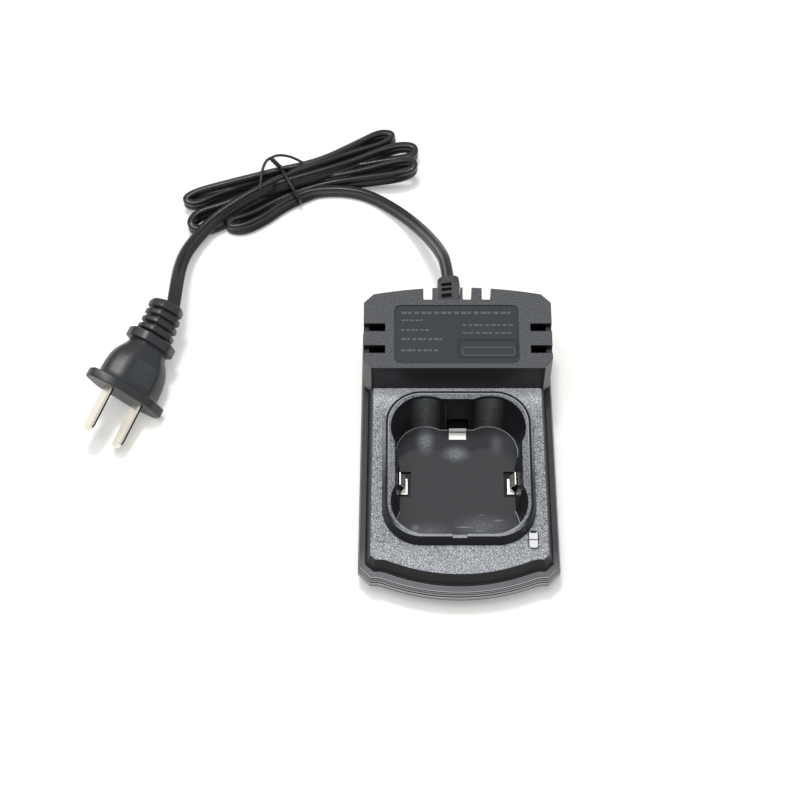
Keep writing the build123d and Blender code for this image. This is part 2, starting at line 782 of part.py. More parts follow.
def hank_wing(middle, end, spread):
    """Half of the bundle: narrow at the tie, fanned out at the folds."""
    axis = (Vector(*end) - Vector(*middle)).normalized()
    across = Vector(-axis.Y, axis.X)
    edges = []
    for centre, half in ((Vector(*middle), hank_tie_spread), (Vector(*end), spread)):
        half -= hank_cord_round
        for side in (-1, 1):
            place = centre + across * (side * half)
            edges += (Pos(place.X, place.Y) * Circle(hank_cord_round)).edges()
    return make_hull(edges)


def make_hank():
    outline = hank_wing(hank_tie, hank_left, hank_left_spread)
    outline += hank_wing(hank_tie, hank_right, hank_right_spread)
    body = extrude(outline, amount=hank_height)
    body = fillet(body.edges().group_by(Axis.Z)[-1], hank_edge)
    inner = tie_outline(-tie_wire_radius - tie_play)
    channel = tie_plane() * (Rectangle(4 * hank_tie_spread, 4 * hank_height) - inner)
    return body - extrude(channel, amount=tie_wire_radius + tie_play, both=True)


def tie_plane():
    """Upright plane across the bundle at its waist."""
    axis = (Vector(*hank_right) - Vector(*hank_left)).normalized()
    centre_z = tie_ground + tie_wire_radius + tie_height / 2
    return Plane(origin=(*hank_tie, centre_z), z_dir=axis, x_dir=(-axis.Y, axis.X, 0))


def tie_outline(grow):
    """Rounded loop of the tie's centre line, grown on all sides."""
    gap = tie_loop_margin + tie_wire_radius
    width = 2 * (hank_tie_spread + gap + grow)
    return RectangleRounded(width, tie_height + 2 * grow, hank_edge + gap + grow)


def make_tie():
    """Wire ring round the bundle at its waist."""
    path = (tie_plane() * tie_outline(0)).wires()[0]
    section = Plane(origin=path @ 0, z_dir=path % 0) * RegularPolygon(tie_wire_radius, 6)
    return sweep(section, path=path)


# ---------------------------------------------------------------- plug
plug_plane = Plane(
    origin=plug_face,
    z_dir=(
        -sin(radians(plug_heading)) * cos(radians(plug_pitch)),
        -cos(radians(plug_heading)) * cos(radians(plug_pitch)),
        sin(radians(plug_pitch)),
    ),
    x_dir=(cos(radians(plug_heading)), -sin(radians(plug_heading)), 0),
)


def facet_section(width, thickness, z, share=facet_share):
    """Eight-sided section: flat top and bottom, slanted facets, short upright sides."""
    half_w = width / 2
    half_t = thickness / 2
    flat = half_w * share
    side = half_t * 0.36
    corners = [(half_w, side), (flat, half_t), (-flat, half_t), (-half_w, side)]
    corners += [(-x, -y) for x, y in corners]
    return Pos(0, 0, z) * Polygon(*corners, align=None)


def make_plug_body():
    """Built with the blades along +Z and the front face at z = 0, then laid on its side."""
    flange_w, flange_t, flange_d = plug_flange
    collar_w, collar_t, collar_d = plug_collar
    body_end = -flange_d - body_length
    collar_end = body_end - collar_d
    flange = extrude(facet_section(flange_w, flange_t, -flange_d), amount=flange_d)
    grip = loft([
        facet_section(body_width, body_thickness, -flange_d),
        facet_section(body_width * 0.985, body_thickness * 0.98, -flange_d - 0.30 * body_length),
        facet_section(body_width * 0.90, body_thickness * 0.94, -flange_d - 0.62 * body_length),
        facet_section(neck_width * 1.12, neck_thickness * 1.08, -flange_d - 0.90 * body_length),
        facet_section(neck_width, neck_thickness, body_end),
    ])
    collar = extrude(facet_section(collar_w, collar_t, collar_end), amount=collar_d)
    body = flange + grip + collar
    sleeve_length = plug_rib_count * plug_rib_pitch + 0.6
    bend_radius = sleeve_length / radians(plug_bend)
    side_x = cos(radians(plug_roll))
    side_y = sin(radians(plug_roll))
    bend_axis = Axis((-bend_radius * side_x, -bend_radius * side_y, collar_end), (-side_y, side_x, 0))
    core = facet_section(*relief_core, collar_end)
    body += revolve(core, axis=bend_axis, revolution_arc=plug_bend)
    rib_w, rib_t, rib_d = plug_rib_size
    for i in range(plug_rib_count):
        rib = extrude(facet_section(rib_w, rib_t, collar_end - rib_d), amount=rib_d)
        place = 0.2 + plug_rib_pitch * (i + 0.5)
        body += rib.rotate(bend_axis, plug_bend * place / sleeve_length)
    for side in (-1, 1):
        body -= Pos(side * blade_spacing / 2, 0, -blade_root) * Box(
            blade_thickness, blade_width, blade_root, align=upright
        )
    return plug_plane.location * Rot(0, 0, -plug_roll) * body


def make_plug_blade(side):
    half = blade_width / 2
    outline = Pos(0, (blade_length - blade_root) / 2) * Rectangle(blade_width, blade_length + blade_root)
    outline = fillet(outline.vertices().group_by(Axis.Y)[-1], half * 0.9)
    upright_face = Plane(origin=(0, 0, 0), x_dir=(0, 1, 0), z_dir=(1, 0, 0)) * outline
    blade = extrude(upright_face, amount=blade_thickness / 2, both=True)
    return plug_plane.location * Rot(0, 0, -plug_roll) * Pos(side * blade_spacing / 2, 0, 0) * blade


# ---------------------------------------------------------------- wires inside
def make_mains_wires():
    """Two cores from the strain relief down to the board."""
    start_y = rear_wall_y - wall - relief_inside
    cores = []
    for side in (-1, 1):
        x = relief_x + side * mains_pitch / 2
        cores.append(wire(
            [(x, start_y, relief_z), (x, start_y - mains_run, relief_z), (x, start_y - mains_run, board_top)],
            mains_radius, 0.9 * mains_run,
        ))
    return cores


def make_contact_wires():
    """One wire from the board to each contact, ending on the well's wall beside the leaf."""
    z = board_top + wire_radius
    low = z - wire_drop
    board_x = board_size[0] / 2 - 1.4
    board_y = board_centre[1] - board_size[1] / 2
    liner_x = waist_x - well_draft + liner_wall + wire_end_gap
    liner_y = rear_waist_y - well_draft + liner_wall + wire_end_gap
    end_y = side_leaf_y + side_leaf_width / 2 + window_margin + 2 * wire_radius
    front_y = block_front - 1.7
    wires = []
    for side in (-1, 1):
        points = [(board_x, board_y + 2.0, z), (wire_side, front_y, z)]
        points += [(wire_side, end_y, low), (liner_x, end_y, low)]
        wires.append(wire([(side * x, y, h) for x, y, h in points], wire_radius, wire_bend))
    rear_x = rear_leaf_x + rear_leaf_width / 2 + window_margin + 2 * wire_radius
    points = [(rear_x, board_y + 1.4, z), (rear_x, board_y - 2.5, z), (rear_x, board_y - 5.5, low)]
    points.append((rear_x, liner_y, low))
    wires.append(wire(points, wire_radius, wire_bend))
    return wires


def make_lamp_wires():
    """Pair of thin wires from the lamp board to the main board."""
    x, y = lens_centre
    start = lamp_board_bottom() + lamp_board_size[2] / 2
    leave_y = y + lamp_board_size[1] / 2
    board_x = board_size[0] / 2
    board_y = board_centre[1]
    wires = []
    for i in range(2):
        shift = i * lamp_wire_pitch
        wires.append(wire(
            [
                (x + 1.6 - shift, leave_y, start),
                (x + 1.6 - shift, leave_y + 3.0, start),
                (x + 2.6 - shift, leave_y + 9.8, start),
                (x + 2.6 - shift, board_y - 12.5, start - 1.0),
                (board_x + 2.8, board_y - 3.5 - shift, board_top + 2.0),
                (board_x - 1.4, board_y - 3.5 - shift, board_top + lamp_wire_radius),
            ],
            lamp_wire_radius, lamp_wire_bend,
        ))
    return wires


# ---------------------------------------------------------------- build
def save(name, *solids):
    shape = solids[0] if len(solids) == 1 else Compound(children=list(solids))
    export_step(shape, "parts/" + name + ".step")


def save_case():
    save("top_housing", make_top_housing())
    save("bottom_housing", make_bottom_housing())
    save("well_floor", make_well_floor())
    save("indicator_lens", make_lens())
    save("housing_screws", *[Pos(x, y, 0) * make_screw() for x, y in boss_places])
    save("rubber_feet", *[Pos(x, y, 0) * make_foot() for x, y in foot_places])


def save_contacts():
    save("left_contact", side_leaf(-1))
    save("right_contact", side_leaf(1))
    save("rear_contact", rear_leaf())


def save_circuit():
    core, bobbin, winding = make_transformer()
    save("circuit_board", make_board())
    save("transformer_core", on_board(*transformer_place, core))
    save("transformer_bobbin", on_board(*transformer_place, bobbin))
    save("transformer_winding", on_board(*transformer_place, winding))
    save("input_capacitor", on_board(*input_can_place, make_can(*input_can)))
    save("output_capacitor", on_board(*output_can_place, make_can(*output_can)))
    save("line_choke", on_board(*choke_place, make_choke()))
    save("fuse", on_board(*fuse_place, make_axial(*fuse_size)))
    save("suppression_capacitor", on_board(*disc_place, Rot(0, 0, 90) * make_disc_capacitor()))
    save("bridge_diodes", *[on_board(x, y, make_axial(*diode_size)) for x, y in diode_places])
    save("resistors", *[on_board(x, y, make_axial(*resistor_size)) for x, y in resistor_places])
    save("heat_sink", on_board(*sink_place, make_heat_sink()))
    save("power_transistor", on_board(sink_place[0], sink_place[1] - transistor_offset, make_transistor()))
    save("control_chip", on_board(*chip_place, make_chip()))
    save("red_lamp", make_lamp(lamp_pitch / 2))
    save("green_lamp", make_lamp(-lamp_pitch / 2))
    save("lamp_board", make_lamp_board())
    save("mains_wires", *make_mains_wires())
    save("contact_wires", *make_contact_wires())
    save("lamp_wires", *make_lamp_wires())


def save_cord():
    relief = make_relief()
    plug = make_plug_body()
    hank = make_hank()
    save("cord_strain_relief", relief)
    save("cord_lead", trimmed(cord_tube("cord_lead", lead_route), relief, hank))
    save("cord_tail", trimmed(cord_tube("cord_tail", tail_route), plug, hank))
    save("cord_hank", hank)
    save("wire_tie", make_tie())
    save("plug_body", plug)
    save("plug_blades", make_plug_blade(-1), make_plug_blade(1))


def main():
    save_case()
    save_contacts()
    save_circuit()
    save_cord()


if __name__ == "__main__":
    main()
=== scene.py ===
"""Dressed scene of a power tool battery charger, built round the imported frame.

The case, contacts, grommet, blades and circuit keep their CAD solids and get moulded, plated and lacquered
finishes. The flat cord is one spline through its lead, its tied hank and its tail. The tie, the plug's
moulding, the label's bars and the indicator's lines are built here. Lengths are metres. In the classes that
build pieces, though, a length that is written without the factor MM is in millimetres.
"""

import logging
import math
from dataclasses import dataclass
from enum import Enum
from functools import partial, reduce
from typing import Iterable, Optional, Sequence

import bpy
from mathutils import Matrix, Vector


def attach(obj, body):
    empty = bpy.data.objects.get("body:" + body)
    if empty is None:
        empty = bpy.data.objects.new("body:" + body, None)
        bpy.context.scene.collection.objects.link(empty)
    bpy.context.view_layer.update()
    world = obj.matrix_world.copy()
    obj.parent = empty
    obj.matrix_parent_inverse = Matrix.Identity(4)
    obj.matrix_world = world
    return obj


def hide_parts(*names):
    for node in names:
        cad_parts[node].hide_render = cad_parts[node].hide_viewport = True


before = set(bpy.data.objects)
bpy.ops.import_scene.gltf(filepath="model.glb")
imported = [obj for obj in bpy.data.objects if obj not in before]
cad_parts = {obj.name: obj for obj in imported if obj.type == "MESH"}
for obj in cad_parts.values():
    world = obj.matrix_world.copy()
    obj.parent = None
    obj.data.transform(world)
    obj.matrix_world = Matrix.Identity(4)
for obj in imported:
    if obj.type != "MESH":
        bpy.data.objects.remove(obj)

log = logging.getLogger("charger")
logging.basicConfig(level=logging.INFO, format="%(name)s: %(message)s")

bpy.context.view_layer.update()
MM = 0.001
PLASTIC_IOR = 1.52
CLOUDS = (0.3, 0.7)  # where most of a noise's values lie
Point = tuple[float, float, float]
Colour = tuple[float, float, float, float]
Socket = bpy.types.NodeSocket


# ---------------------------------------------------------------- small helpers
def linear(hex_value: str) -> Colour:
    """Turns an sRGB hex colour into the linear colour that a socket takes.

    Args:
        hex_value: colour such as "#2B2D30".

    Returns:
        Linear red, green, blue and an alpha of 1.
    """
    parts = [int(hex_value[i : i + 2], 16) / 255 for i in (1, 3, 5)]
    made = [p / 12.92 if p <= 0.04045 else ((p + 0.055) / 1.055) ** 2.4 for p in parts]
    return (made[0], made[1], made[2], 1.0)


def fill(node: bpy.types.Node, **inputs: object) -> None:
    """Fills a node's sockets.

    Args:
        node: node whose sockets get a value or a link.
        **inputs: socket name, with underscores for spaces, to a value or to another node's output socket. A
            name of "i" and digits means the socket of that number.
    """
    for name, value in inputs.items():
        numbered = name[0] == "i" and name[1:].isdigit()
        socket = node.inputs[int(name[1:])] if numbered else node.inputs[name.replace("_", " ")]
        if isinstance(value, Socket):
            node.id_data.links.new(value, socket)
        else:
            socket.default_value = value


def add_node(
    tree: bpy.types.NodeTree, kind: str, settings: Optional[dict] = None, **inputs: object
) -> bpy.types.Node:
    """Adds a node with its settings and links.

    Args:
        tree: node tree that the node goes into.
        kind: Blender's type name of the node.
        settings: attributes of the node itself, such as an operation.
        **inputs: what its sockets get, as in fill.

    Returns:
        The new node.
    """
    node = tree.nodes.new(kind)
    for name, value in (settings or {}).items():
        setattr(node, name, value)
    fill(node, **inputs)
    return node


def new_material(name: str) -> tuple[bpy.types.Material, bpy.types.NodeTree, bpy.types.Node]:
    """Makes an empty node material.

    Args:
        name: the material's name.

    Returns:
        The material, its tree and its Principled node, which is linked to the output.
    """
    material = bpy.data.materials.new(name)
    material.use_nodes = True
    tree = material.node_tree
    tree.nodes.clear()
    shader = add_node(tree, "ShaderNodeBsdfPrincipled")
    add_node(tree, "ShaderNodeOutputMaterial", Surface=shader.outputs["BSDF"])
    return material, tree, shader


def per_metre(size_mm: float) -> float:
    """Texture scale at which one feature is size_mm wide, in object coordinates."""
    return 1.0 / (size_mm * MM)


def math_sum(tree: bpy.types.NodeTree, operation: str, *values: object) -> Socket:
    """Result of a sum on values or sockets; a comparison gives 1 where it holds."""
    inputs = {f"i{number}": value for number, value in enumerate(values)}
    return add_node(tree, "ShaderNodeMath", {"operation": operation}, **inputs).outputs[0]


def product(tree: bpy.types.NodeTree, *factors: object) -> Socket:
    """Product of values or sockets; of masks, the places where all of them hold."""
    return reduce(partial(math_sum, tree, "MULTIPLY"), factors)


def vector_sum(tree: bpy.types.NodeTree, operation: str, *values: object) -> Socket:
    """Result of a sum on vectors: a value for a length or a dot product, otherwise a vector."""
    inputs = {f"i{number}": value for number, value in enumerate(values)}
    made = add_node(tree, "ShaderNodeVectorMath", {"operation": operation}, **inputs)
    return made.outputs["Value" if operation in ("LENGTH", "DOT_PRODUCT") else "Vector"]


def remap(
    tree: bpy.types.NodeTree,
    value: Socket,
    reach: tuple[float, float],
    result: tuple[float, float] = (0.0, 1.0),
    kind: str = "LINEAR",
) -> Socket:
    """Carries a value from one reach over to another and stops it at both ends."""
    low, high = reach
    ends = {"From_Min": low, "From_Max": high, "To_Min": result[0], "To_Max": result[1]}
    return add_node(tree, "ShaderNodeMapRange", {"interpolation_type": kind}, Value=value, **ends).outputs[0]


def blend(tree: bpy.types.NodeTree, share: Socket, low: object, high: object, kind: str = "RGBA") -> Socket:
    """Colour that changes from low to high as share goes from 0 to 1, or a value if kind is "FLOAT"."""
    a, b, out = ("i6", "i7", 2) if kind == "RGBA" else ("i2", "i3", 0)
    return add_node(tree, "ShaderNodeMix", {"data_type": kind}, i0=share, **{a: low, b: high}).outputs[out]


def noise(tree: bpy.types.NodeTree, place: Socket, scale: float, detail: float, rough: float = 0.5) -> Socket:
    """Cloudy value about 0.5, with features of about 1 / scale metres."""
    inputs = {"Vector": place, "Scale": scale, "Detail": detail, "Roughness": rough}
    return add_node(tree, "ShaderNodeTexNoise", **inputs).outputs[0]


def streaks(tree: bpy.types.NodeTree, place: Socket, sizes_mm: Sequence[float], detail: float) -> Socket:
    """Cloudy value with features of about sizes_mm along X, Y and Z."""
    scales = tuple(per_metre(size) for size in sizes_mm)
    stretched = add_node(tree, "ShaderNodeMapping", Vector=place, Scale=scales).outputs[0]
    return noise(tree, stretched, 1.0, detail)


def bumped(
    tree: bpy.types.NodeTree, height: Socket, strength: object, depth_mm: float, edge_round_mm: float
) -> Socket:
    """Normal of a surface with a fine relief and rounded edges."""
    soft_edge = add_node(tree, "ShaderNodeBevel", {"samples": 4}, Radius=edge_round_mm * MM).outputs[0]
    inputs = {"Strength": strength, "Distance": depth_mm * MM, "Height": height, "Normal": soft_edge}
    return add_node(tree, "ShaderNodeBump", **inputs).outputs[0]


def dress(names: Iterable[str], material: bpy.types.Material) -> None:
    """Gives CAD nodes one material.

    Args:
        names: CAD nodes.
        material: the finish that they all get.
    """
    for name in names:
        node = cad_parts[name]
        node.data.materials.clear()
        node.data.materials.append(material)
        log.info("%s finished in %s", name, material.name)


def link(obj: bpy.types.Object, body: str = "case") -> bpy.types.Object:
    """Puts a new piece in the scene and lets it ride on a body."""
    bpy.context.scene.collection.objects.link(obj)
    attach(obj, body)
    log.info("%s built", obj.name)
    return obj


def mesh_object(
    name: str, points: Sequence[Point], faces: Sequence[Sequence[int]], smooth: bool = True
) -> bpy.types.Object:
    """Makes a mesh object from points and faces.

    Args:
        name: name of the object and of its mesh.
        points: corners in the row frame.
        faces: corner numbers of each face.
        smooth: shade the faces smooth.

    Returns:
        The new object, not yet linked.
    """
    mesh = bpy.data.meshes.new(name)
    mesh.from_pydata(points, [], faces)
    mesh.validate()
    mesh.update()
    for polygon in mesh.polygons:
        polygon.use_smooth = smooth
    return bpy.data.objects.new(name, mesh)


def wire(
    name: str,
    lines: Sequence[Sequence[Sequence[float]]],
    radius: float,
    closed: bool = False,
    smooth: bool = False,
) -> bpy.types.Object:
    """Makes round lines, all in one mesh.

    Args:
        name: the object's name.
        lines: the points of each line, in metres.
        radius: radius of every line, in metres.
        closed: joins each line's last point to its first.
        smooth: bends each line round its points and caps its ends, where otherwise it runs straight.

    Returns:
        The linked object.
    """
    curve = bpy.data.curves.new(name, "CURVE")
    curve.dimensions = "3D"
    curve.bevel_depth = radius
    curve.bevel_resolution = 3 if smooth else 1
    curve.resolution_u = 6
    curve.use_fill_caps = smooth
    for points in lines:
        line = curve.splines.new("NURBS" if smooth else "POLY")
        line.points.add(len(points) - 1)
        for target, place in zip(line.points, points):
            target.co = (*place, 1.0)
        line.order_u = 3
        line.use_cyclic_u = closed
        line.use_endpoint_u = not closed
    holder = bpy.data.objects.new(name + "_line", curve)
    bpy.context.scene.collection.objects.link(holder)
    graph = bpy.context.evaluated_depsgraph_get()
    graph.update()
    mesh = bpy.data.meshes.new_from_object(holder.evaluated_get(graph))
    bpy.data.objects.remove(holder)
    bpy.data.curves.remove(curve)
    mesh.name = name
    mesh.shade_smooth()
    return link(bpy.data.objects.new(name, mesh))


# ---------------------------------------------------------------- finishes
@dataclass(frozen=True)
class GrainedHousing:
    """Injection-moulded ABS from a tool with a spark-eroded grain on its upward faces and polished walls.

    The grain breaks the overhead light into fine grey pebbles, coarse on the deck and fine on the block. The
    drafted walls stay smooth and nearly black. Some tones are painted by place and stand for light: the thin
    lines of the front skirt (lips, which start at a height in millimetres), the rings round the collar, the
    sheen in the well's rear lobes and the pale strips of the deck. They are colour only, so they keep still
    when the light or the view moves. A ring is a pair of distances from the collar's outline, negative within
    it. A facing is the least or the most that a face's normal has along Z or Y.
    """

    wall_colour: str = "#191B1E"
    side_ledge_colour: str = "#3A3C3F"
    front_ledge_painted_light_colour: str = "#65676A"
    block_colour: str = "#46484B"
    block_fleck: str = "#66686B"
    deck_gap: str = "#5A5D63"
    deck_pebble: str = "#C8CBD2"
    pale_gap: str = "#A2A5AC"
    pale_pebble: str = "#F2F4F8"
    pale_strips: tuple[tuple[float, float], ...] = ((11.0 * MM, 19.0 * MM), (-38.5 * MM, -42.0 * MM))
    front_strip_share: float = 0.22
    flank_ring: tuple[float, float] = (-0.1 * MM, 1.4 * MM)
    groove_ring: tuple[float, float] = (-0.95 * MM, -0.1 * MM)
    edge_ring: tuple[float, float] = (-1.25 * MM, -0.95 * MM)
    rim_ring: tuple[float, float] = (-6.0 * MM, -1.0 * MM)
    front_rim_ring: tuple[float, float] = (-6.0 * MM, 0.0)
    flank_fade: tuple[float, float] = (18.0 * MM, 2.0 * MM)
    ring_fade: tuple[float, float] = (38.6 * MM, 33.0 * MM)
    front_rim_colour: str = "#9C9EA2"
    front_rim_share: float = 0.7
    # Painted shade: the near-black colour of the low floors in the contacts' pockets.
    pocket_shade_colour: str = "#060607"
    pocket_shade_level: float = 3.0 * MM
    facing_up: float = 0.75
    skirt_facing: float = -0.3
    flank_facing: float = -0.6
    lobe_facing: float = -0.5
    inner_edge: float = -1.0 * MM
    rim_gap: str = "#4A4D52"
    rim_pebble: str = "#9EA1A7"
    label_colour: str = "#34383A"
    ring_colour: str = "#121416"
    ring_edge_colour: str = "#A6A8AC"
    sheen_colour: str = "#8C9092"
    sheen_place: tuple[float, float] = (11.3 * MM, 5.4 * MM)
    sheen_streak_mm: Point = (3.0, 3.0, 0.5)
    sheen_gain: float = 1.5
    lips: tuple[tuple[float, str], ...] = (
        (0.0, "#141517"), (6.9, "#8A8C8F"), (8.5, "#E2E4E8"), (9.4, "#0E0F11"), (9.9, "#B6B8BC"),
        (10.4, "#101113"), (11.0, "#9A9CA0"), (11.5, "#141518"), (12.1, "#D6D8DC"), (12.6, "#3A3C3F"),
        (13.6, "#0B0C10"),
    )
    lips_top: float = 20.0
    skirt_reach: tuple[float, float] = (38.0 * MM, 47.0 * MM)
    ledge_level: float = 12.0 * MM
    deck_level: float = 19.2 * MM
    rim_notch_levels: tuple[float, float] = (22.6 * MM, 23.7 * MM)
    block_level: float = 34.0 * MM
    recess_depth: float = 0.4 * MM
    slot_land_level: float = 28.0 * MM
    collar_centre: Point = (0.0, -11.0 * MM, 0.0)
    collar_half: tuple[float, float] = (25.4 * MM, 27.95 * MM)
    collar_corner: float = 12.6 * MM
    deck_grain_mm: float = 0.8
    deck_cloud_mm: float = 2.2
    block_grain_mm: float = 0.5
    block_grain_roughness: float = 0.6
    pebble_reach: tuple[float, float] = (0.0, 0.26)
    fleck_reach: tuple[float, float] = (0.40, 0.68)
    cloud_shades: tuple[float, float] = (0.7, 1.0)
    grain_height_mm: float = 0.05
    edge_round_mm: float = 0.45
    specular: float = 0.18
    # Of the walls, the deck, the label's recess and the block.
    roughnesses: tuple[float, ...] = (0.34, 0.42, 0.5, 0.55)
    grain_depths: tuple[float, ...] = (0.02, 0.35, 0.12, 0.30)

    def build(self) -> bpy.types.Material:
        """Builds the material.

        Returns:
            The finished material, with its zones set by place and by which way a face looks.
        """
        material, tree, shader = new_material("abs_spark_eroded_grain")
        place = add_node(tree, "ShaderNodeTexCoord").outputs["Object"]
        spot = add_node(tree, "ShaderNodeSeparateXYZ", Vector=place).outputs
        normal = add_node(tree, "ShaderNodeNewGeometry").outputs["Normal"]
        facing = add_node(tree, "ShaderNodeSeparateXYZ", Vector=normal).outputs

        sum_of, times, mix, ramped = (partial(f, tree) for f in (math_sum, product, blend, remap))
        above, below = partial(sum_of, "GREATER_THAN"), partial(sum_of, "LESS_THAN")

        up = above(facing["Z"], self.facing_up)
        ledge = times(up, above(spot["Z"], self.ledge_level))
        deck = times(up, above(spot["Z"], self.deck_level - 1.0 * MM))
        label = times(up, above(spot["Z"], self.slot_land_level))
        block = times(up, above(spot["Z"], self.block_level - 0.5 * self.recess_depth))
        low, high = self.rim_notch_levels
        notched = times(above(spot["Z"], low), below(spot["Z"], high))

        def fade(reach: tuple[float, float]) -> Socket:
            """Mask that grows from 0 to 1 between two distances in front of the middle."""
            return ramped(spot["Y"], (-reach[0], -reach[1]))

        # The skirt: steep faces in front of the well, below the deck.
        ahead = fade(self.skirt_reach)
        skirt = times(ahead, times(sum_of("SUBTRACT", 1.0, up), below(facing["Y"], self.skirt_facing)))
        share = sum_of("DIVIDE", spot["Z"], self.lips_top * MM)
        ramp = add_node(tree, "ShaderNodeValToRGB", Fac=share)
        stops = ramp.color_ramp.elements
        ramp.color_ramp.interpolation = "CONSTANT"
        stops.remove(stops[1])
        for number, (level, shade) in enumerate(self.lips):
            stop = stops[0] if number == 0 else stops.new(level / self.lips_top)
            stop.color = linear(shade)

        # Distance outside the collar's rounded outline, negative within it.
        from_centre = vector_sum(tree, "SUBTRACT", place, self.collar_centre)
        folded = vector_sum(tree, "ABSOLUTE", vector_sum(tree, "MULTIPLY", from_centre, (1.0, 1.0, 0.0)))
        straight = tuple(h - self.collar_corner for h in self.collar_half) + (0.0,)
        over = vector_sum(tree, "MAXIMUM", vector_sum(tree, "SUBTRACT", folded, straight), (0.0, 0.0, 0.0))
        outside = sum_of("SUBTRACT", vector_sum(tree, "LENGTH", over), self.collar_corner)
        raised = above(spot["Z"], self.deck_level + 0.1 * MM)

        def ring(low: float, high: float) -> Socket:
            """Mask of the collar between two distances from its outline."""
            return times(above(outside, low), below(outside, high), raised)

        # The collar's front keeps its dark flank and pale rim: the rings round it fade out there.
        rearward, round_corner = fade(self.flank_fade), fade(self.ring_fade)
        flank = times(ring(*self.flank_ring), above(facing["Y"], self.flank_facing), rearward)
        rim = times(up, ring(*self.rim_ring), round_corner)
        groove = times(ring(*self.groove_ring), round_corner)
        bright = times(ring(*self.edge_ring), rearward)
        front_rim = times(up, ring(*self.front_rim_ring), self.front_rim_share)
        front_rim = times(front_rim, sum_of("SUBTRACT", 1.0, round_corner))
        # Painted shade: up-facing faces low in the well, the floors of the contacts' pockets, are painted
        # near black.
        pocket_shade = times(up, below(spot["Z"], self.pocket_shade_level))
        # Painted shade: the collar's inner face between the notch levels is painted dark.
        notch_shade = times(notched, below(outside, self.inner_edge))

        # Painted sheen with fine cross lines on the rear lobes, which face forward.
        far_from, half = self.sheen_place
        off = sum_of("ABSOLUTE", sum_of("SUBTRACT", sum_of("ABSOLUTE", spot["X"]), far_from))
        wall = times(below(facing["Y"], self.lobe_facing), above(spot["Y"], 0.0))
        inner = times(wall, below(outside, self.inner_edge))
        lines = streaks(tree, place, self.sheen_streak_mm, 2.0)
        sheen = times(times(inner, ramped(off, (0.0, half), (1.0, 0.0))), times(lines, self.sheen_gain))

        scale = per_metre(self.deck_grain_mm)
        cells = add_node(
            tree, "ShaderNodeTexVoronoi", {"feature": "DISTANCE_TO_EDGE"}, Vector=place, Scale=scale
        ).outputs["Distance"]
        uneven = noise(tree, place, per_metre(self.deck_cloud_mm), 2.0)
        fine = noise(tree, place, per_metre(self.block_grain_mm), 2.0, self.block_grain_roughness)
        pebbles = ramped(cells, self.pebble_reach)
        grain = times(pebbles, ramped(uneven, CLOUDS, self.cloud_shades))
        deck_colour = mix(grain, linear(self.deck_gap), linear(self.deck_pebble))
        flecks = ramped(fine, self.fleck_reach)
        block_colour = mix(flecks, linear(self.block_colour), linear(self.block_fleck))
        # Painted light: the ledge is a paler grey along the front than along the sides.
        ledge_colour = mix(ahead, linear(self.side_ledge_colour), linear(self.front_ledge_painted_light_colour))
        # Painted paler: the strip under the block's wall and the one along the front edge.
        rear_strip, front_strip = self.pale_strips
        rear_share = ramped(spot["Y"], rear_strip)
        front_share = ramped(spot["Y"], front_strip, (0.0, self.front_strip_share))
        pale_colour = mix(grain, linear(self.pale_gap), linear(self.pale_pebble))
        deck_colour = mix(sum_of("MAXIMUM", rear_share, front_share), deck_colour, pale_colour)
        rim_colour = mix(grain, linear(self.rim_gap), linear(self.rim_pebble))

        colour = mix(skirt, linear(self.wall_colour), ramp.outputs[0])
        for mask, paint in (
            (ledge, ledge_colour),
            (sheen, linear(self.sheen_colour)),
            (deck, deck_colour),
            (flank, deck_colour),
            (rim, rim_colour),
            (front_rim, linear(self.front_rim_colour)),
            (pocket_shade, linear(self.pocket_shade_colour)),
            (groove, linear(self.ring_colour)),
            (bright, linear(self.ring_edge_colour)),
            (notch_shade, linear(self.ring_colour)),
            (label, linear(self.label_colour)),
            (block, block_colour),
        ):
            colour = mix(mask, colour, paint)
        rough, depth = self.roughnesses[0], self.grain_depths[0]
        for mask, matt, deep in zip((deck, label, block), self.roughnesses[1:], self.grain_depths[1:]):
            rough, depth = mix(mask, rough, matt, "FLOAT"), mix(mask, depth, deep, "FLOAT")
        relief = mix(block, pebbles, fine, "FLOAT")
        fill(
            shader,
            Base_Color=colour,
            Roughness=rough,
            Normal=bumped(tree, relief, depth, self.grain_height_mm, self.edge_round_mm),
            IOR=PLASTIC_IOR,
            Specular_IOR_Level=self.specular,
        )
        return material


@dataclass(frozen=True)
class MouldedPlastic:
    """Moulded or extruded plastic of one colour, with a faint mottle and a fine surface grain."""

    name: str
    colour: str
    roughness: float
    grain_mm: float = 0.3
    grain_depth: float = 0.15
    grain_height_mm: float = 0.04
    mottle_mm: float = 9.0
    mottle_gain: float = 1.25
    mottle_lift: float = 0.002
    gloss_spread: float = 0.04
    least_roughness: float = 0.05
    specular: float = 0.4
    edge_round_mm: float = 0.25

    def build(self) -> bpy.types.Material:
        """Builds the material.

        Returns:
            The finished material.
        """
        material, tree, shader = new_material(self.name)
        place = add_node(tree, "ShaderNodeTexCoord").outputs["Object"]
        grain = noise(tree, place, per_metre(self.grain_mm), 2.0)
        mottle = noise(tree, place, per_metre(self.mottle_mm), 1.0)
        base = linear(self.colour)
        light = tuple(min(1.0, c * self.mottle_gain + self.mottle_lift) for c in base[:3]) + (1.0,)
        glossiest = max(self.least_roughness, self.roughness - self.gloss_spread)
        fill(
            shader,
            Base_Color=blend(tree, mottle, base, light),
            Roughness=remap(tree, mottle, CLOUDS, (glossiest, self.roughness + self.gloss_spread)),
            Normal=bumped(tree, grain, self.grain_depth, self.grain_height_mm, self.edge_round_mm),
            IOR=PLASTIC_IOR,
            Specular_IOR_Level=self.specular,
        )
        return material


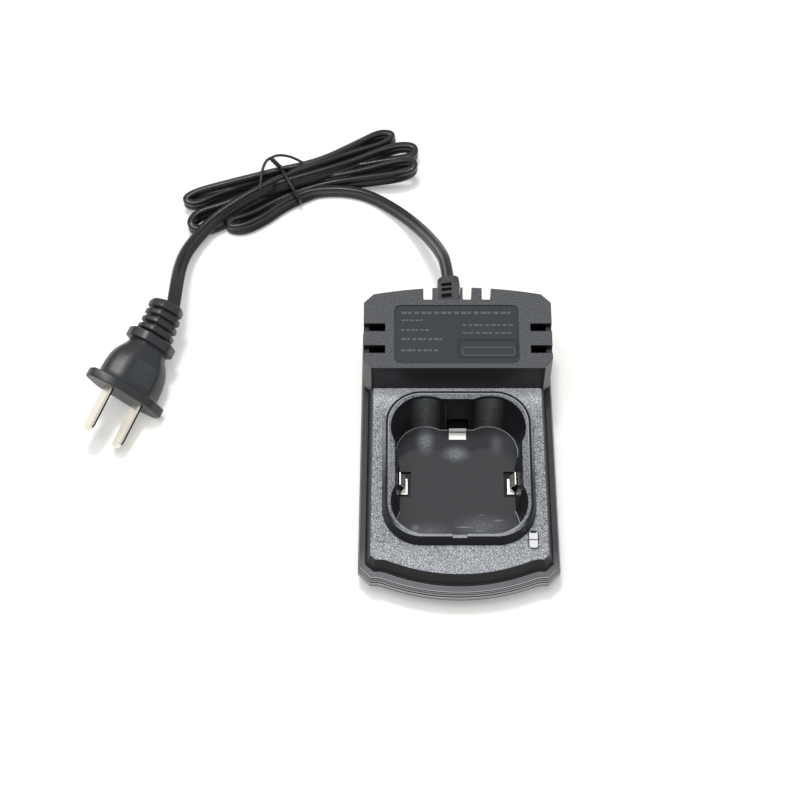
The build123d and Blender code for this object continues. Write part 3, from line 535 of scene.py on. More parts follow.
@dataclass(frozen=True)
class ScuffedFloorPaintedSheen:
    """Polished moulded ABS with pale hazes and thin streaks painted on it.

    The gloss mirrors the dark wall near the rear and the bright room further forward. The hazes are clouds of
    paler, rougher colour that stand for scuffs and for patches of light, so they keep still when the view
    moves. Each is its centre, its half sizes along X and Y in millimetres, and how strong it is.
    """

    name: str = "abs_floor_scuffs_and_painted_sheen"
    colour: str = "#3C3E41"
    haze_colour: str = "#9EA2AC"
    hazes: tuple[tuple[float, float, float, float, float], ...] = (
        (-11.2, 8.2, 4.4, 8.0, 0.52), (-0.4, 2.6, 6.4, 4.4, 0.55), (14.2, 6.4, 3.6, 6.4, 0.26),
        (9.0, -26.0, 14.0, 6.5, 0.26), (-10.0, -28.0, 12.0, 5.0, 0.20), (-14.9, -26.6, 3.0, 2.6, 0.30),
        (2.4, -26.2, 5.2, 0.45, 0.75), (7.6, -27.6, 2.2, 0.4, 0.85), (14.2, -23.6, 3.2, 0.7, 0.55),
        (8.4, -21.5, 1.8, 0.35, 0.45),
    )
    mottle_mm: float = 0.9
    mottle_roughness: float = 0.7
    mottle_shares: tuple[float, float] = (0.35, 1.0)
    roughness: float = 0.08
    haze_roughness: float = 0.45
    full_haze: float = 0.5
    specular: float = 0.4

    def build(self) -> bpy.types.Material:
        """Builds the material.

        Returns:
            The finished material.
        """
        material, tree, shader = new_material(self.name)
        place = add_node(tree, "ShaderNodeTexCoord").outputs["Object"]
        mottle = noise(tree, place, per_metre(self.mottle_mm), 3.0, self.mottle_roughness)
        clouds = []
        for x, y, half_x, half_y, strength in self.hazes:
            moved = vector_sum(tree, "SUBTRACT", place, (x * MM, y * MM, 0.0))
            scaled = vector_sum(tree, "MULTIPLY", moved, (per_metre(half_x), per_metre(half_y), 0.0))
            away = vector_sum(tree, "LENGTH", scaled)
            clouds.append(remap(tree, away, (0.0, 1.0), (strength, 0.0), "SMOOTHSTEP"))
        total = reduce(partial(math_sum, tree, "MAXIMUM"), clouds)
        share = product(tree, total, remap(tree, mottle, CLOUDS, self.mottle_shares))
        fill(
            shader,
            Base_Color=blend(tree, share, linear(self.colour), linear(self.haze_colour)),
            Roughness=remap(tree, share, (0.0, self.full_haze), (self.roughness, self.haze_roughness)),
            IOR=PLASTIC_IOR,
            Specular_IOR_Level=self.specular,
        )
        return material


@dataclass(frozen=True)
class PlatedMetal:
    """Rolled or drawn metal with a thin plating, slightly streaked along its length.

    Faces that look along dark_axis are the stamped edges: their half from band_start on in each pitch along
    band_axis is painted dark, as painted shade. Between each pair of dark_levels the metal is painted dark.
    """

    name: str
    colour: str
    roughness: float
    streak_mm: Point = (0.25, 6.0, 0.25)
    streak_shade: float = 0.82
    gloss_spread: tuple[float, float] = (-0.06, 0.08)
    dark_axis: Optional[Point] = None
    edge_facing: float = 0.8
    band_axis: Point = (1.0, 0.0, 0.0)
    band_origin: float = 0.0
    band_pitch: float = 12.7 * MM
    band_start: float = 6.5 * MM
    dark_colour: str = "#1B1A19"
    dark_levels: tuple[tuple[float, float], ...] = ()

    def build(self) -> bpy.types.Material:
        """Builds the material.

        Returns:
            The finished material.
        """
        material, tree, shader = new_material(self.name)
        place = add_node(tree, "ShaderNodeTexCoord").outputs["Object"]
        streak = streaks(tree, place, self.streak_mm, 3.0)
        base = linear(self.colour)
        dull = tuple(c * self.streak_shade for c in base[:3]) + (1.0,)
        tint = blend(tree, streak, dull, base)
        masks = []
        if self.dark_axis:
            facing = add_node(tree, "ShaderNodeNewGeometry").outputs["Normal"]
            along = vector_sum(tree, "DOT_PRODUCT", facing, self.dark_axis)
            edges = math_sum(tree, "GREATER_THAN", math_sum(tree, "ABSOLUTE", along), self.edge_facing)
            reach = vector_sum(tree, "DOT_PRODUCT", place, self.band_axis)
            offset = math_sum(tree, "SUBTRACT", reach, self.band_origin)
            turn = math_sum(tree, "WRAP", offset, self.band_pitch, 0.0)
            masks.append(product(tree, edges, math_sum(tree, "GREATER_THAN", turn, self.band_start)))
        height = add_node(tree, "ShaderNodeSeparateXYZ", Vector=place).outputs["Z"]
        for low, high in self.dark_levels:
            over = math_sum(tree, "GREATER_THAN", height, low)
            masks.append(product(tree, over, math_sum(tree, "LESS_THAN", height, high)))
        for mask in masks:
            tint = blend(tree, mask, tint, linear(self.dark_colour))
        gloss = tuple(self.roughness + spread for spread in self.gloss_spread)
        fill(shader, Base_Color=tint, Roughness=remap(tree, streak, CLOUDS, gloss), Metallic=1.0)
        return material


@dataclass(frozen=True)
class ClearMoulding:
    """Clear moulded plastic, or glass, with a smooth surface."""

    name: str
    colour: str
    transmission: float
    roughness: float = 0.12
    ior: float = 1.58
    cloud_mm: float = 2.5
    cloud_shade: float = 0.9

    def build(self) -> bpy.types.Material:
        """Builds the material.

        Returns:
            The finished material.
        """
        material, tree, shader = new_material(self.name)
        place = add_node(tree, "ShaderNodeTexCoord").outputs["Object"]
        cloud = noise(tree, place, per_metre(self.cloud_mm), 1.0)
        base = linear(self.colour)
        dim = tuple(c * self.cloud_shade for c in base[:3]) + (1.0,)
        fill(
            shader,
            Base_Color=blend(tree, cloud, dim, base),
            Transmission_Weight=self.transmission,
            Roughness=self.roughness,
            IOR=self.ior,
        )
        return material


# ---------------------------------------------------------------- cord
class Lay(Enum):
    """Turn of the cord's broad face about its line, in degrees; left and right are seen along its run."""

    FLAT = 180.0
    LEANING_LEFT = 122.0
    ON_EDGE = 90.0
    LEANING_RIGHT = 58.0


@dataclass
class FlatCord:
    """Flat two-core cord: the lead from the case, the tied hank and the tail to the plug, on one spline."""

    width: float = 5.0 * MM
    thickness: float = 2.6 * MM
    corner: float = 0.85 * MM
    groove: float = 0.22 * MM
    groove_half: float = 0.32 * MM
    corner_steps: int = 5
    colour: str = "#17181A"
    lead_turn: tuple[float, float] = (Lay.FLAT.value - 58.0, Lay.ON_EDGE.value + 8.0)
    tail_turn: float = 8.0
    lead: tuple[Point, ...] = (
        (-2.9, 58.6, 28.0), (-3.6, 68.6, 26.0), (-5.9, 77.4, 20.7), (-9.6, 87.0, 14.2), (-14.6, 96.6, 8.2),
        (-21.6, 105.4, 4.2), (-30.6, 112.4, 2.8), (-39.8, 115.4, 2.8), (-51.0, 115.4, 2.8),
    )
    hank: tuple[tuple[Lay, tuple[Point, ...]], ...] = (
        (Lay.LEANING_LEFT, (
            (-57.0, 113.2, 2.7), (-65.0, 108.6, 2.7), (-72.0, 102.4, 2.7), (-79.6, 98.2, 2.7),
        )),
        (Lay.ON_EDGE, ((-85.4, 98.6, 2.8), (-84.4, 101.6, 3.0))),
        (Lay.LEANING_RIGHT, (
            (-76.6, 103.6, 2.6), (-68.4, 109.0, 2.6), (-59.2, 113.9, 2.8), (-47.0, 118.0, 2.8),
            (-33.0, 118.8, 5.0), (-21.5, 118.8, 7.4),
        )),
        (Lay.ON_EDGE, ((-14.6, 120.5, 8.8), (-15.2, 124.9, 9.0))),
        (Lay.LEANING_LEFT, (
            (-23.0, 124.2, 7.2), (-36.0, 121.9, 4.6), (-51.6, 119.4, 3.0), (-64.0, 115.4, 2.8),
            (-77.5, 107.3, 2.8), (-88.0, 99.8, 3.4),
        )),
        (Lay.ON_EDGE, ((-96.0, 95.8, 4.4), (-100.2, 98.0, 5.0))),
        (Lay.LEANING_RIGHT, (
            (-96.6, 103.0, 5.4), (-86.7, 105.8, 6.0), (-77.4, 110.7, 6.2), (-66.0, 115.4, 6.6),
            (-52.0, 120.2, 6.6), (-39.5, 124.9, 6.2), (-29.9, 129.5, 6.2),
        )),
        (Lay.ON_EDGE, ((-21.0, 133.6, 6.0), (-14.4, 133.4, 5.6), (-14.8, 128.8, 5.4))),
        (Lay.LEANING_LEFT, (
            (-24.0, 126.8, 5.0), (-38.0, 124.6, 4.0), (-54.0, 122.4, 3.0), (-66.0, 120.4, 2.8),
            (-78.0, 116.1, 3.8), (-89.0, 111.5, 4.9),
        )),
        (Lay.ON_EDGE, ((-98.0, 107.0, 5.0), (-102.4, 108.6, 5.6))),
        (Lay.LEANING_RIGHT, (
            (-98.0, 111.4, 6.2), (-87.0, 114.6, 6.8), (-75.7, 118.0, 6.8), (-65.6, 121.1, 6.8),
            (-57.3, 123.1, 6.8), (-49.1, 126.1, 6.8), (-41.5, 130.3, 6.8), (-33.8, 135.0, 6.6),
        )),
        (Lay.ON_EDGE, ((-27.6, 139.4, 6.2), (-22.4, 138.6, 5.8))),
        (Lay.LEANING_LEFT, (
            (-25.6, 134.4, 5.8), (-34.4, 131.2, 6.0), (-42.7, 127.9, 6.2), (-50.3, 124.1, 6.8),
            (-57.9, 120.8, 7.4), (-65.4, 117.0, 7.6), (-71.7, 113.2, 7.6), (-78.5, 109.0, 7.4),
            (-84.8, 104.6, 6.8),
        )),
    )
    tail: tuple[Point, ...] = (
        (-90.9, 99.6, 6.2), (-96.4, 92.6, 5.8), (-100.4, 84.8, 7.4), (-101.9, 76.0, 10.8),
        (-102.2, 67.8, 14.2), (-102.4, 60.6, 16.2), (-102.9, 54.6, 16.4),
    )

    def profile(self) -> bpy.types.Object:
        """Makes the cord's section: a flat band with round edges and a shallow groove between its two cores.

        Returns:
            A closed curve that only serves as a bevel, so it isn't linked to the scene.
        """
        half_w = self.width / 2
        half_t = self.thickness / 2
        points: list[tuple[float, float]] = []
        for side_x, side_y, start in ((1, -1, -90), (1, 1, 0), (-1, 1, 90), (-1, -1, 180)):
            centre_x = side_x * (half_w - self.corner)
            centre_y = side_y * (half_t - self.corner)
            for i in range(self.corner_steps + 1):
                angle = math.radians(start + 90 * i / self.corner_steps)
                points.append(
                    (centre_x + self.corner * math.cos(angle), centre_y + self.corner * math.sin(angle))
                )
            if (side_x, side_y) in ((1, 1), (-1, -1)):
                points.append((side_x * self.groove_half, side_y * half_t))
                points.append((0.0, side_y * (half_t - self.groove)))
                points.append((-side_x * self.groove_half, side_y * half_t))
        curve = bpy.data.curves.new("cord_section", "CURVE")
        curve.dimensions = "2D"
        line = curve.splines.new("POLY")
        line.points.add(len(points) - 1)
        for target, (x, y) in zip(line.points, points):
            target.co = (x, y, 0.0, 1.0)
        line.use_cyclic_u = True
        return bpy.data.objects.new("cord_section", curve)

    def route(self) -> list[tuple[Vector, float]]:
        """Joins the three stretches.

        Returns:
            Control points in metres with the turn of the cord's face in radians.
        """
        first, last = self.lead_turn
        step = (last - first) / (len(self.lead) - 1)
        made = [(Vector(p) * MM, math.radians(first + step * i)) for i, p in enumerate(self.lead)]
        for lay, points in self.hank:
            made += [(Vector(p) * MM, math.radians(lay.value)) for p in points]
        turns = [Lay.LEANING_LEFT.value + self.tail_turn * i for i in range(len(self.tail))]
        made += [(Vector(p) * MM, math.radians(t)) for p, t in zip(self.tail, turns)]
        return made

    def build(self, with_pieces: Sequence[object]) -> bpy.types.Object:
        """Args:
            with_pieces: pieces and CAD nodes that go with the cord; not used.

        Returns:
            The cord's curve object.
        """
        curve = bpy.data.curves.new("flat_cord", "CURVE")
        curve.dimensions = "3D"
        curve.twist_mode = "Z_UP"
        curve.resolution_u = 8
        curve.bevel_mode = "OBJECT"
        curve.bevel_object = self.profile()
        curve.use_fill_caps = True
        route = self.route()
        line = curve.splines.new("NURBS")
        line.points.add(len(route) - 1)
        for target, (place, turn) in zip(line.points, route):
            target.co = (*place, 1.0)
            target.tilt = turn
        line.order_u = 3
        line.use_endpoint_u = True
        line.use_smooth = True
        # Extruded soft PVC: glossy skin, so a bright line runs along each core.
        vinyl = MouldedPlastic(
            "pvc_cord_extruded", self.colour, roughness=0.28, grain_mm=0.8, grain_depth=0.05
        )
        curve.materials.append(vinyl.build())
        cord = link(bpy.data.objects.new("flat_cord", curve))
        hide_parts("cord_lead", "cord_hank", "cord_tail")
        return cord

    @staticmethod
    def length() -> float:
        """Real length of the cord, which shows from end to end."""
        return 0.72


# ---------------------------------------------------------------- stage
@dataclass
class Studio:
    """Pale floor, soft overhead light from behind on the left, and the camera."""

    camera_place: Point = (-0.0203, -0.3217, 0.6543)
    camera_tilt: float = 28.0
    lens_mm: float = 91.67
    sensor_mm: float = 36.0
    floor_half: float = 1.5
    floor_colour: str = "#F4F2EF"
    floor_lift: float = 0.22
    room_level: float = 0.42
    mirror_lift: float = 0.38
    aim: Point = (-0.02, 0.04, 0.0)
    # The name, place, width and power of each light.
    lights: tuple[tuple[str, Point, float, float], ...] = (
        ("key", (-0.12, 0.31, 1.39), 0.17, 6.0),
        ("fill", (-0.16, -0.12, 1.28), 0.80, 6.8),
    )

    def build_camera(self) -> None:
        """Places the camera that the scene renders from."""
        data = bpy.data.cameras.new("camera")
        data.lens = self.lens_mm
        data.sensor_width = self.sensor_mm
        camera = bpy.data.objects.new("camera", data)
        camera.location = self.camera_place
        camera.rotation_euler = (math.radians(self.camera_tilt), 0.0, 0.0)
        bpy.context.scene.collection.objects.link(camera)
        bpy.context.scene.camera = camera

    def build_floor(self) -> None:
        """Lays a plain pale floor that keeps the object's shadow."""
        h = self.floor_half
        floor = mesh_object(
            "floor", [(-h, -h, 0), (h, -h, 0), (h, h, 0), (-h, h, 0)], [(0, 1, 2, 3)], smooth=False
        )
        bpy.context.scene.collection.objects.link(floor)
        material, tree, shader = new_material("pale_floor")
        rays = add_node(tree, "ShaderNodeLightPath").outputs
        shown = math_sum(tree, "MAXIMUM", rays["Is Camera Ray"], rays["Is Glossy Ray"])
        shown = math_sum(tree, "MAXIMUM", shown, rays["Is Transmission Ray"])
        fill(
            shader,
            Base_Color=linear(self.floor_colour),
            Roughness=0.9,
            Specular_IOR_Level=0.0,
            Emission_Strength=product(tree, shown, self.floor_lift),
            Emission_Color=(1.0, 1.0, 1.0, 1.0),
        )
        floor.data.materials.append(material)

    def hang(self, name: str, place: Point, width: float, power: float) -> None:
        """Hangs a square soft light that looks at the case.

        Args:
            name: the light's name.
            place: where it hangs, in metres.
            width: its side, in metres.
            power: its power, in watts.
        """
        data = bpy.data.lights.new(name, "AREA")
        data.shape = "SQUARE"
        data.size = width
        data.energy = power
        light = bpy.data.objects.new(name, data)
        light.location = place
        sight = Vector(self.aim) - Vector(place)
        light.rotation_euler = sight.to_track_quat("-Z", "Y").to_euler()
        bpy.context.scene.collection.objects.link(light)

    def build_light(self) -> None:
        """Hangs a small light overhead, a little behind, and a broad one in front, in an even pale world."""
        for light in self.lights:
            self.hang(*light)
        world = bpy.data.worlds.new("studio_air")
        world.use_nodes = True
        # Mirror rays meet a brighter room than matt ones: plated parts shine and the shadows stay soft.
        tree = world.node_tree
        glossy = add_node(tree, "ShaderNodeLightPath").outputs["Is Glossy Ray"]
        level = math_sum(tree, "MULTIPLY_ADD", glossy, self.mirror_lift, self.room_level)
        fill(tree.nodes["Background"], Color=(1.0, 1.0, 1.0, 1.0), Strength=level)
        bpy.context.scene.world = world

    def build(self) -> None:
        """Builds camera, floor and light."""
        bpy.context.scene.view_settings.view_transform = "Standard"
        self.build_camera()
        self.build_floor()
        self.build_light()


# ---------------------------------------------------------------- case
@dataclass
class Case:
    """Top housing, tray, well floor, feet and screws, with the label's marks and the floor's bead."""

    grained: tuple[str, ...] = ("top_housing",)
    tray: tuple[str, ...] = ("bottom_housing",)
    label_level: float = 33.6
    label_height: float = 0.12
    label_rows: tuple[tuple[float, float, float, float, int], ...] = (
        (-19.8, 19.8, 42.6, 43.9, 17), (-19.8, -11.6, 39.7, 40.6, 5), (-19.8, -9.8, 35.7, 36.7, 6),
        (1.8, 19.8, 37.7, 38.7, 9), (1.8, 19.8, 34.6, 35.5, 8), (-19.8, -4.6, 32.0, 33.1, 8),
        (-19.8, -6.4, 27.5, 28.6, 7),
    )
    # Shares of a bar's place that it fills along its row, and across it.
    bar_shares: tuple[float, ...] = (0.55, 0.70, 0.85)
    bar_fill: float = 0.8
    inner_frame: tuple[float, float, float, float] = (1.4, 20.0, 25.8, 29.3)
    frame_width: float = 0.3
    bead_radius: float = 0.13
    bead_rear_of: float = 1.0
    bead_front_of: float = -16.2
    bead_shortest: int = 6
    bead_inset: float = 0.995
    bead_shift: float = 0.08 * MM
    line_place: float = -4.1
    line_levels: tuple[float, float] = (5.0, 22.5)
    wall_place: float = 12.93
    wall_level: float = 13.63
    wall_draft: float = 0.07
    line_thinness: float = 0.6

    def block_mesh(self, name: str, boxes: Sequence[tuple[float, float, float, float]]) -> bpy.types.Object:
        """Makes low raised bars on the label.

        Args:
            name: the object's name.
            boxes: low x, high x, low y and high y of each bar, in millimetres.

        Returns:
            The linked object.
        """
        low, high = self.label_level, self.label_level + self.label_height
        points: list[Point] = []
        faces: list[tuple[int, ...]] = []
        for x0, x1, y0, y1 in boxes:
            first = len(points)
            for z in (low, high):
                points += [(x * MM, y * MM, z * MM) for x, y in ((x0, y0), (x1, y0), (x1, y1), (x0, y1))]
            faces.append(tuple(first + i for i in (4, 5, 6, 7)))
            faces += [
                (first + i, first + (i + 1) % 4, first + 4 + (i + 1) % 4, first + 4 + i) for i in range(4)
            ]
        return link(mesh_object(name, points, faces, smooth=False))

    def build_marks(self) -> list[bpy.types.Object]:
        """Builds plain bars and a thin frame where the label has its raised marks.

        Returns:
            The bars and the frame.
        """
        bars = []
        for x0, x1, y0, y1, count in self.label_rows:
            step = (x1 - x0) / count
            for i in range(count):
                share = self.bar_shares[(i * 7 + count) % 3]
                bars.append((x0 + i * step, x0 + (i + share) * step, y0, y0 + (y1 - y0) * self.bar_fill))
        x0, x1, y0, y1 = self.inner_frame
        w = self.frame_width
        frame_bars = [(x0, x1, y0, y0 + w), (x0, x1, y1 - w, y1), (x0, x0 + w, y0, y1), (x1 - w, x1, y0, y1)]
        return [self.block_mesh("label_bars", bars), self.block_mesh("label_inner_frame", frame_bars)]

    def build_bead(self) -> bpy.types.Object:
        """Lays a thin bead along the outline of the well floor, clear of the contacts' openings."""
        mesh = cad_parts["well_floor"].data
        top = max(v.co.z for v in mesh.vertices)
        sides: dict[int, set[int]] = {}
        count: dict[tuple[int, int], int] = {}
        for polygon in mesh.polygons:
            if polygon.normal.z > 0.9 and abs(polygon.center.z - top) < 0.05 * MM:
                for key in polygon.edge_keys:
                    count[key] = count.get(key, 0) + 1
        for (a, b), used in count.items():
            depths = [mesh.vertices[v].co.y for v in (a, b)]
            shown = min(depths) > self.bead_rear_of * MM or max(depths) < self.bead_front_of * MM
            if used == 1 and shown:
                sides.setdefault(a, set()).add(b)
                sides.setdefault(b, set()).add(a)
        lines: list[list[Point]] = []
        used_points: set[int] = set()
        for start in [v for v, near in sides.items() if len(near) == 1]:
            if start in used_points:
                continue
            chain, current = [start], start
            used_points.add(start)
            while following := [v for v in sides[current] if v not in used_points]:
                current = following[0]
                used_points.add(current)
                chain.append(current)
            if len(chain) >= self.bead_shortest:
                spots = [mesh.vertices[number].co for number in chain]
                lines.append([(x * self.bead_inset, y - self.bead_shift, z) for x, y, z in spots])
        return wire("floor_bead", lines, self.bead_radius * MM)

    def build_wall_line(self) -> bpy.types.Object:
        """Draws the fine upright parting line in the well's rear wall."""
        ends = []
        for z in self.line_levels:
            wall = self.wall_place + self.wall_draft * (z - self.wall_level)
            ends.append((self.line_place * MM, wall * MM, z * MM))
        return wire("wall_line", [ends], self.line_thinness * self.bead_radius * MM)

    def build(self) -> None:
        """Finishes the case's solids and adds its fine raised marks."""
        dress(self.grained + self.tray, GrainedHousing().build())
        dress(["well_floor"], ScuffedFloorPaintedSheen().build())
        # Raised by the same tool as the label, so a shade lighter than the recess round them.
        raised = MouldedPlastic("abs_raised_marks", "#4A4D50", roughness=0.42, edge_round_mm=0.05).build()
        # Painted highlight: the bead is coloured pale, so that its round top reads as a thin bright line
        # against the dark wall.
        pale = MouldedPlastic("abs_bead_painted_highlight", "#B9BBC0", roughness=0.2, edge_round_mm=0.05).build()
        for piece in self.build_marks():
            piece.data.materials.append(raised)
        bead = self.build_bead()
        bead.data.materials.append(pale)
        # The parting line: dull grey as a painted highlight against the dark wall.
        line = self.build_wall_line()
        line.data.materials.append(MouldedPlastic("abs_parting_line_painted_highlight", "#6E7073", roughness=0.4).build())
        dress(["rubber_feet"], MouldedPlastic("nitrile_feet", "#18181A", roughness=0.75).build())
        dress(["housing_screws"], PlatedMetal("zinc_plated_screws", "#A9A9AC", roughness=0.32).build())


@dataclass
class Contacts:
    """Three sprung leaves in the well."""

    leaves: tuple[str, ...] = ("left_contact", "right_contact", "rear_contact")

    def build(self) -> None:
        """Finishes the leaves."""
        # Nickel-plated phosphor bronze strip, rolled: nearly white with soft streaks.
        dress(self.leaves[:2], PlatedMetal("nickel_plated_strip", "#F9F7F2", roughness=0.42).build())
        # The same strip, duller, with two painted dark bands across it: painted shade in its crease, and its
        # upper part, towards its root, painted dark.
        scuffed_painted_shade = PlatedMetal(
            "nickel_plated_strip_scuffed_painted_shade",
            "#FFFEFB",
            roughness=0.66,
            dark_levels=((4.35 * MM, 5.3 * MM), (7.6 * MM, 12.0 * MM)),
        )
        dress(self.leaves[2:], scuffed_painted_shade.build())


@dataclass
class Indicator:
    """Milky window in the deck, the dark gap round it and the two lamps under it."""

    centre: tuple[float, float] = (25.2, -38.0)
    size: tuple[float, float] = (3.2, 6.2)
    top: float = 19.45
    line_radius: float = 0.16
    corner: float = 0.6
    rib_inset: float = 0.1
    rib_thinness: float = 0.7
    rear_gap_inset: tuple[float, float] = (0.7, 0.2)
    rear_gap_radius: float = 0.42

    def stroke(
        self, name: str, points: Sequence[Point], radius: float, closed: bool = False
    ) -> bpy.types.Object:
        """Makes a thin dark line.

        Args:
            name: the object's name.
            points: corners in millimetres.
            radius: half its width, in millimetres.
            closed: joins the last corner to the first.

        Returns:
            The linked object.
        """
        return wire(name, [[Vector(corner) * MM for corner in points]], radius * MM, closed)

    def build(self) -> None:
        """Finishes the window and the lamps, and draws the gap and the rib between the window's halves."""
        # Milky polycarbonate: spreads the lamps' light, so unlit it reads as a bright white patch.
        dress(
            ["indicator_lens"],
            ClearMoulding("polycarbonate_window_milky", "#FBFBFD", transmission=0.1).build(),
        )
        dress(["red_lamp"], ClearMoulding("red_lamp_resin", "#C02A20", transmission=0.3).build())
        dress(["green_lamp"], ClearMoulding("green_lamp_resin", "#2E9A44", transmission=0.3).build())
        x, y = self.centre
        w, h = self.size[0] / 2, self.size[1] / 2
        z, c = self.top, self.corner
        inset_x, inset_y = self.rear_gap_inset
        outline = [
            (x - w, y - h + c, z), (x - w + c, y - h, z), (x + w - c, y - h, z), (x + w, y - h + c, z),
            (x + w, y + h - c, z), (x + w - c, y + h, z), (x - w + c, y + h, z), (x - w, y + h - c, z),
        ]
        gap = self.stroke("indicator_gap", outline, self.line_radius, closed=True)
        ends = [(x - w + self.rib_inset, y, z), (x + w - self.rib_inset, y, z)]
        rib = self.stroke("indicator_rib", ends, self.rib_thinness * self.line_radius)
        ends = [(x - w + inset_x, y + h - inset_y, z), (x + w - inset_x, y + h - inset_y, z)]
        shade = self.stroke("indicator_rear_gap", ends, self.rear_gap_radius)
        # Shadowed slot between window and deck: matt black, so no glint breaks the line.
        dark = MouldedPlastic("abs_gap_shadowed", "#0E0F10", roughness=0.8, edge_round_mm=0.05).build()
        for piece in (gap, rib, shade):
            piece.data.materials.append(dark)


@dataclass
class Circuit:
    """Board and its parts inside the case."""

    board_parts: tuple[str, ...] = ("circuit_board", "lamp_board")
    black_parts: tuple[str, ...] = ("bridge_diodes", "power_transistor", "control_chip", "transformer_bobbin")

    def build(self) -> None:
        """Finishes the circuit's parts."""
        dress(self.board_parts, MouldedPlastic("glass_epoxy_board", "#1F6B3A", roughness=0.35).build())
        dress(self.black_parts, MouldedPlastic("moulded_epoxy", "#1A1A1C", roughness=0.5).build())
        dress(
            ["transformer_core", "line_choke"],
            MouldedPlastic("sintered_ferrite", "#2A2A2C", roughness=0.6).build(),
        )
        dress(["transformer_winding"], PlatedMetal("enamelled_copper", "#B5652F", roughness=0.35).build())
        dress(
            ["input_capacitor", "output_capacitor"],
            MouldedPlastic("vinyl_sleeve", "#1B2440", roughness=0.3).build(),
        )
        dress(["suppression_capacitor"], MouldedPlastic("dipped_lacquer", "#2F66A8", roughness=0.3).build())
        dress(["resistors"], MouldedPlastic("resistor_lacquer", "#C2A679", roughness=0.35).build())
        dress(["fuse"], ClearMoulding("fuse_glass", "#EEF2F2", transmission=0.8, roughness=0.05).build())
        dress(["heat_sink"], PlatedMetal("extruded_aluminium", "#C4C6C8", roughness=0.38).build())
        dress(
            ["mains_wires", "contact_wires", "lamp_wires"],
            MouldedPlastic("wire_vinyl", "#222226", roughness=0.4).build(),
        )


@dataclass
class TwistTie:
    """Coated wire round the bundle's waist, its ends twisted together and sprung apart above it."""

    radius: float = 0.62 * MM
    thin_radius: float = 0.5 * MM
    twist_thinness: float = 0.8
    left_thinness: float = 0.9
    stub_thickness: float = 1.3
    ring: tuple[Point, ...] = (
        (-65.6, 121.6, 9.0), (-64.6, 118.6, 10.4), (-62.0, 113.8, 9.9), (-59.8, 110.9, 7.8),
        (-58.2, 109.4, 5.0), (-58.4, 109.6, 1.4), (-61.0, 114.0, 0.7), (-64.6, 121.6, 0.7),
        (-66.6, 125.0, 1.2), (-67.0, 125.0, 4.6),
    )
    twist_start: Point = (-65.6, 121.0, 9.8)
    twist_end: Point = (-69.5, 122.9, 14.0)
    twist_turns: float = 2.5
    left_end: tuple[Point, ...] = (
        (-69.5, 122.9, 14.0), (-71.0, 121.9, 14.2), (-72.4, 119.0, 13.0), (-73.0, 115.4, 11.9),
        (-73.3, 110.4, 10.9),
    )
    twist_steps: int = 20
    right_end: tuple[Point, ...] = (
        (-69.5, 122.9, 14.0), (-67.5, 124.0, 14.4), (-63.7, 124.5, 13.4), (-60.0, 124.0, 12.0),
        (-57.4, 123.1, 10.6),
    )
    stub: tuple[Point, ...] = ((-65.8, 120.9, 9.9), (-64.2, 121.3, 10.0), (-62.9, 121.3, 9.8))

    def strand(
        self, name: str, points: Sequence[Point], radius: float, closed: bool = False
    ) -> bpy.types.Object:
        """Makes one smooth round wire.

        Args:
            name: the object's name.
            points: control points in millimetres.
            radius: radius of the wire in metres.
            closed: joins the last point to the first.

        Returns:
            The linked object.
        """
        return wire(name, [[Vector(place) * MM for place in points]], radius, closed, smooth=True)

    def helix(self, phase: float) -> list[Point]:
        """Points of one of the two twisted strands."""
        start, end = Vector(self.twist_start), Vector(self.twist_end)
        along = (end - start).normalized()
        side = along.cross(Vector((0.0, 0.0, 1.0))).normalized()
        top = along.cross(side)
        steps = self.twist_steps
        reach = self.twist_thinness * self.radius / MM
        made = []
        for i in range(steps + 1):
            angle = phase + 2 * math.pi * self.twist_turns * i / steps
            outward = side * math.cos(angle) + top * math.sin(angle)
            made.append(tuple(start.lerp(end, i / steps) + outward * reach))
        return made

    def build(self) -> list[bpy.types.Object]:
        """Builds the tie in place of the plain ring.

        Returns:
            The tie's pieces.
        """
        # Soft PVC over steel wire: matt black with a thin soft highlight.
        vinyl = MouldedPlastic("pvc_tie_coated_wire", "#17181A", roughness=0.42).build()
        pieces = [
            self.strand("tie_ring", self.ring, self.radius, closed=True),
            self.strand("tie_twist_one", self.helix(0.0), self.twist_thinness * self.radius),
            self.strand("tie_twist_two", self.helix(math.pi), self.twist_thinness * self.radius),
            self.strand("tie_left_end", self.left_end, self.left_thinness * self.radius),
            self.strand("tie_right_end", self.right_end, self.thin_radius),
            self.strand("tie_stub", self.stub, self.stub_thickness * self.radius),
        ]
        for piece in pieces:
            piece.data.materials.append(vinyl)
        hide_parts("wire_tie")
        return pieces


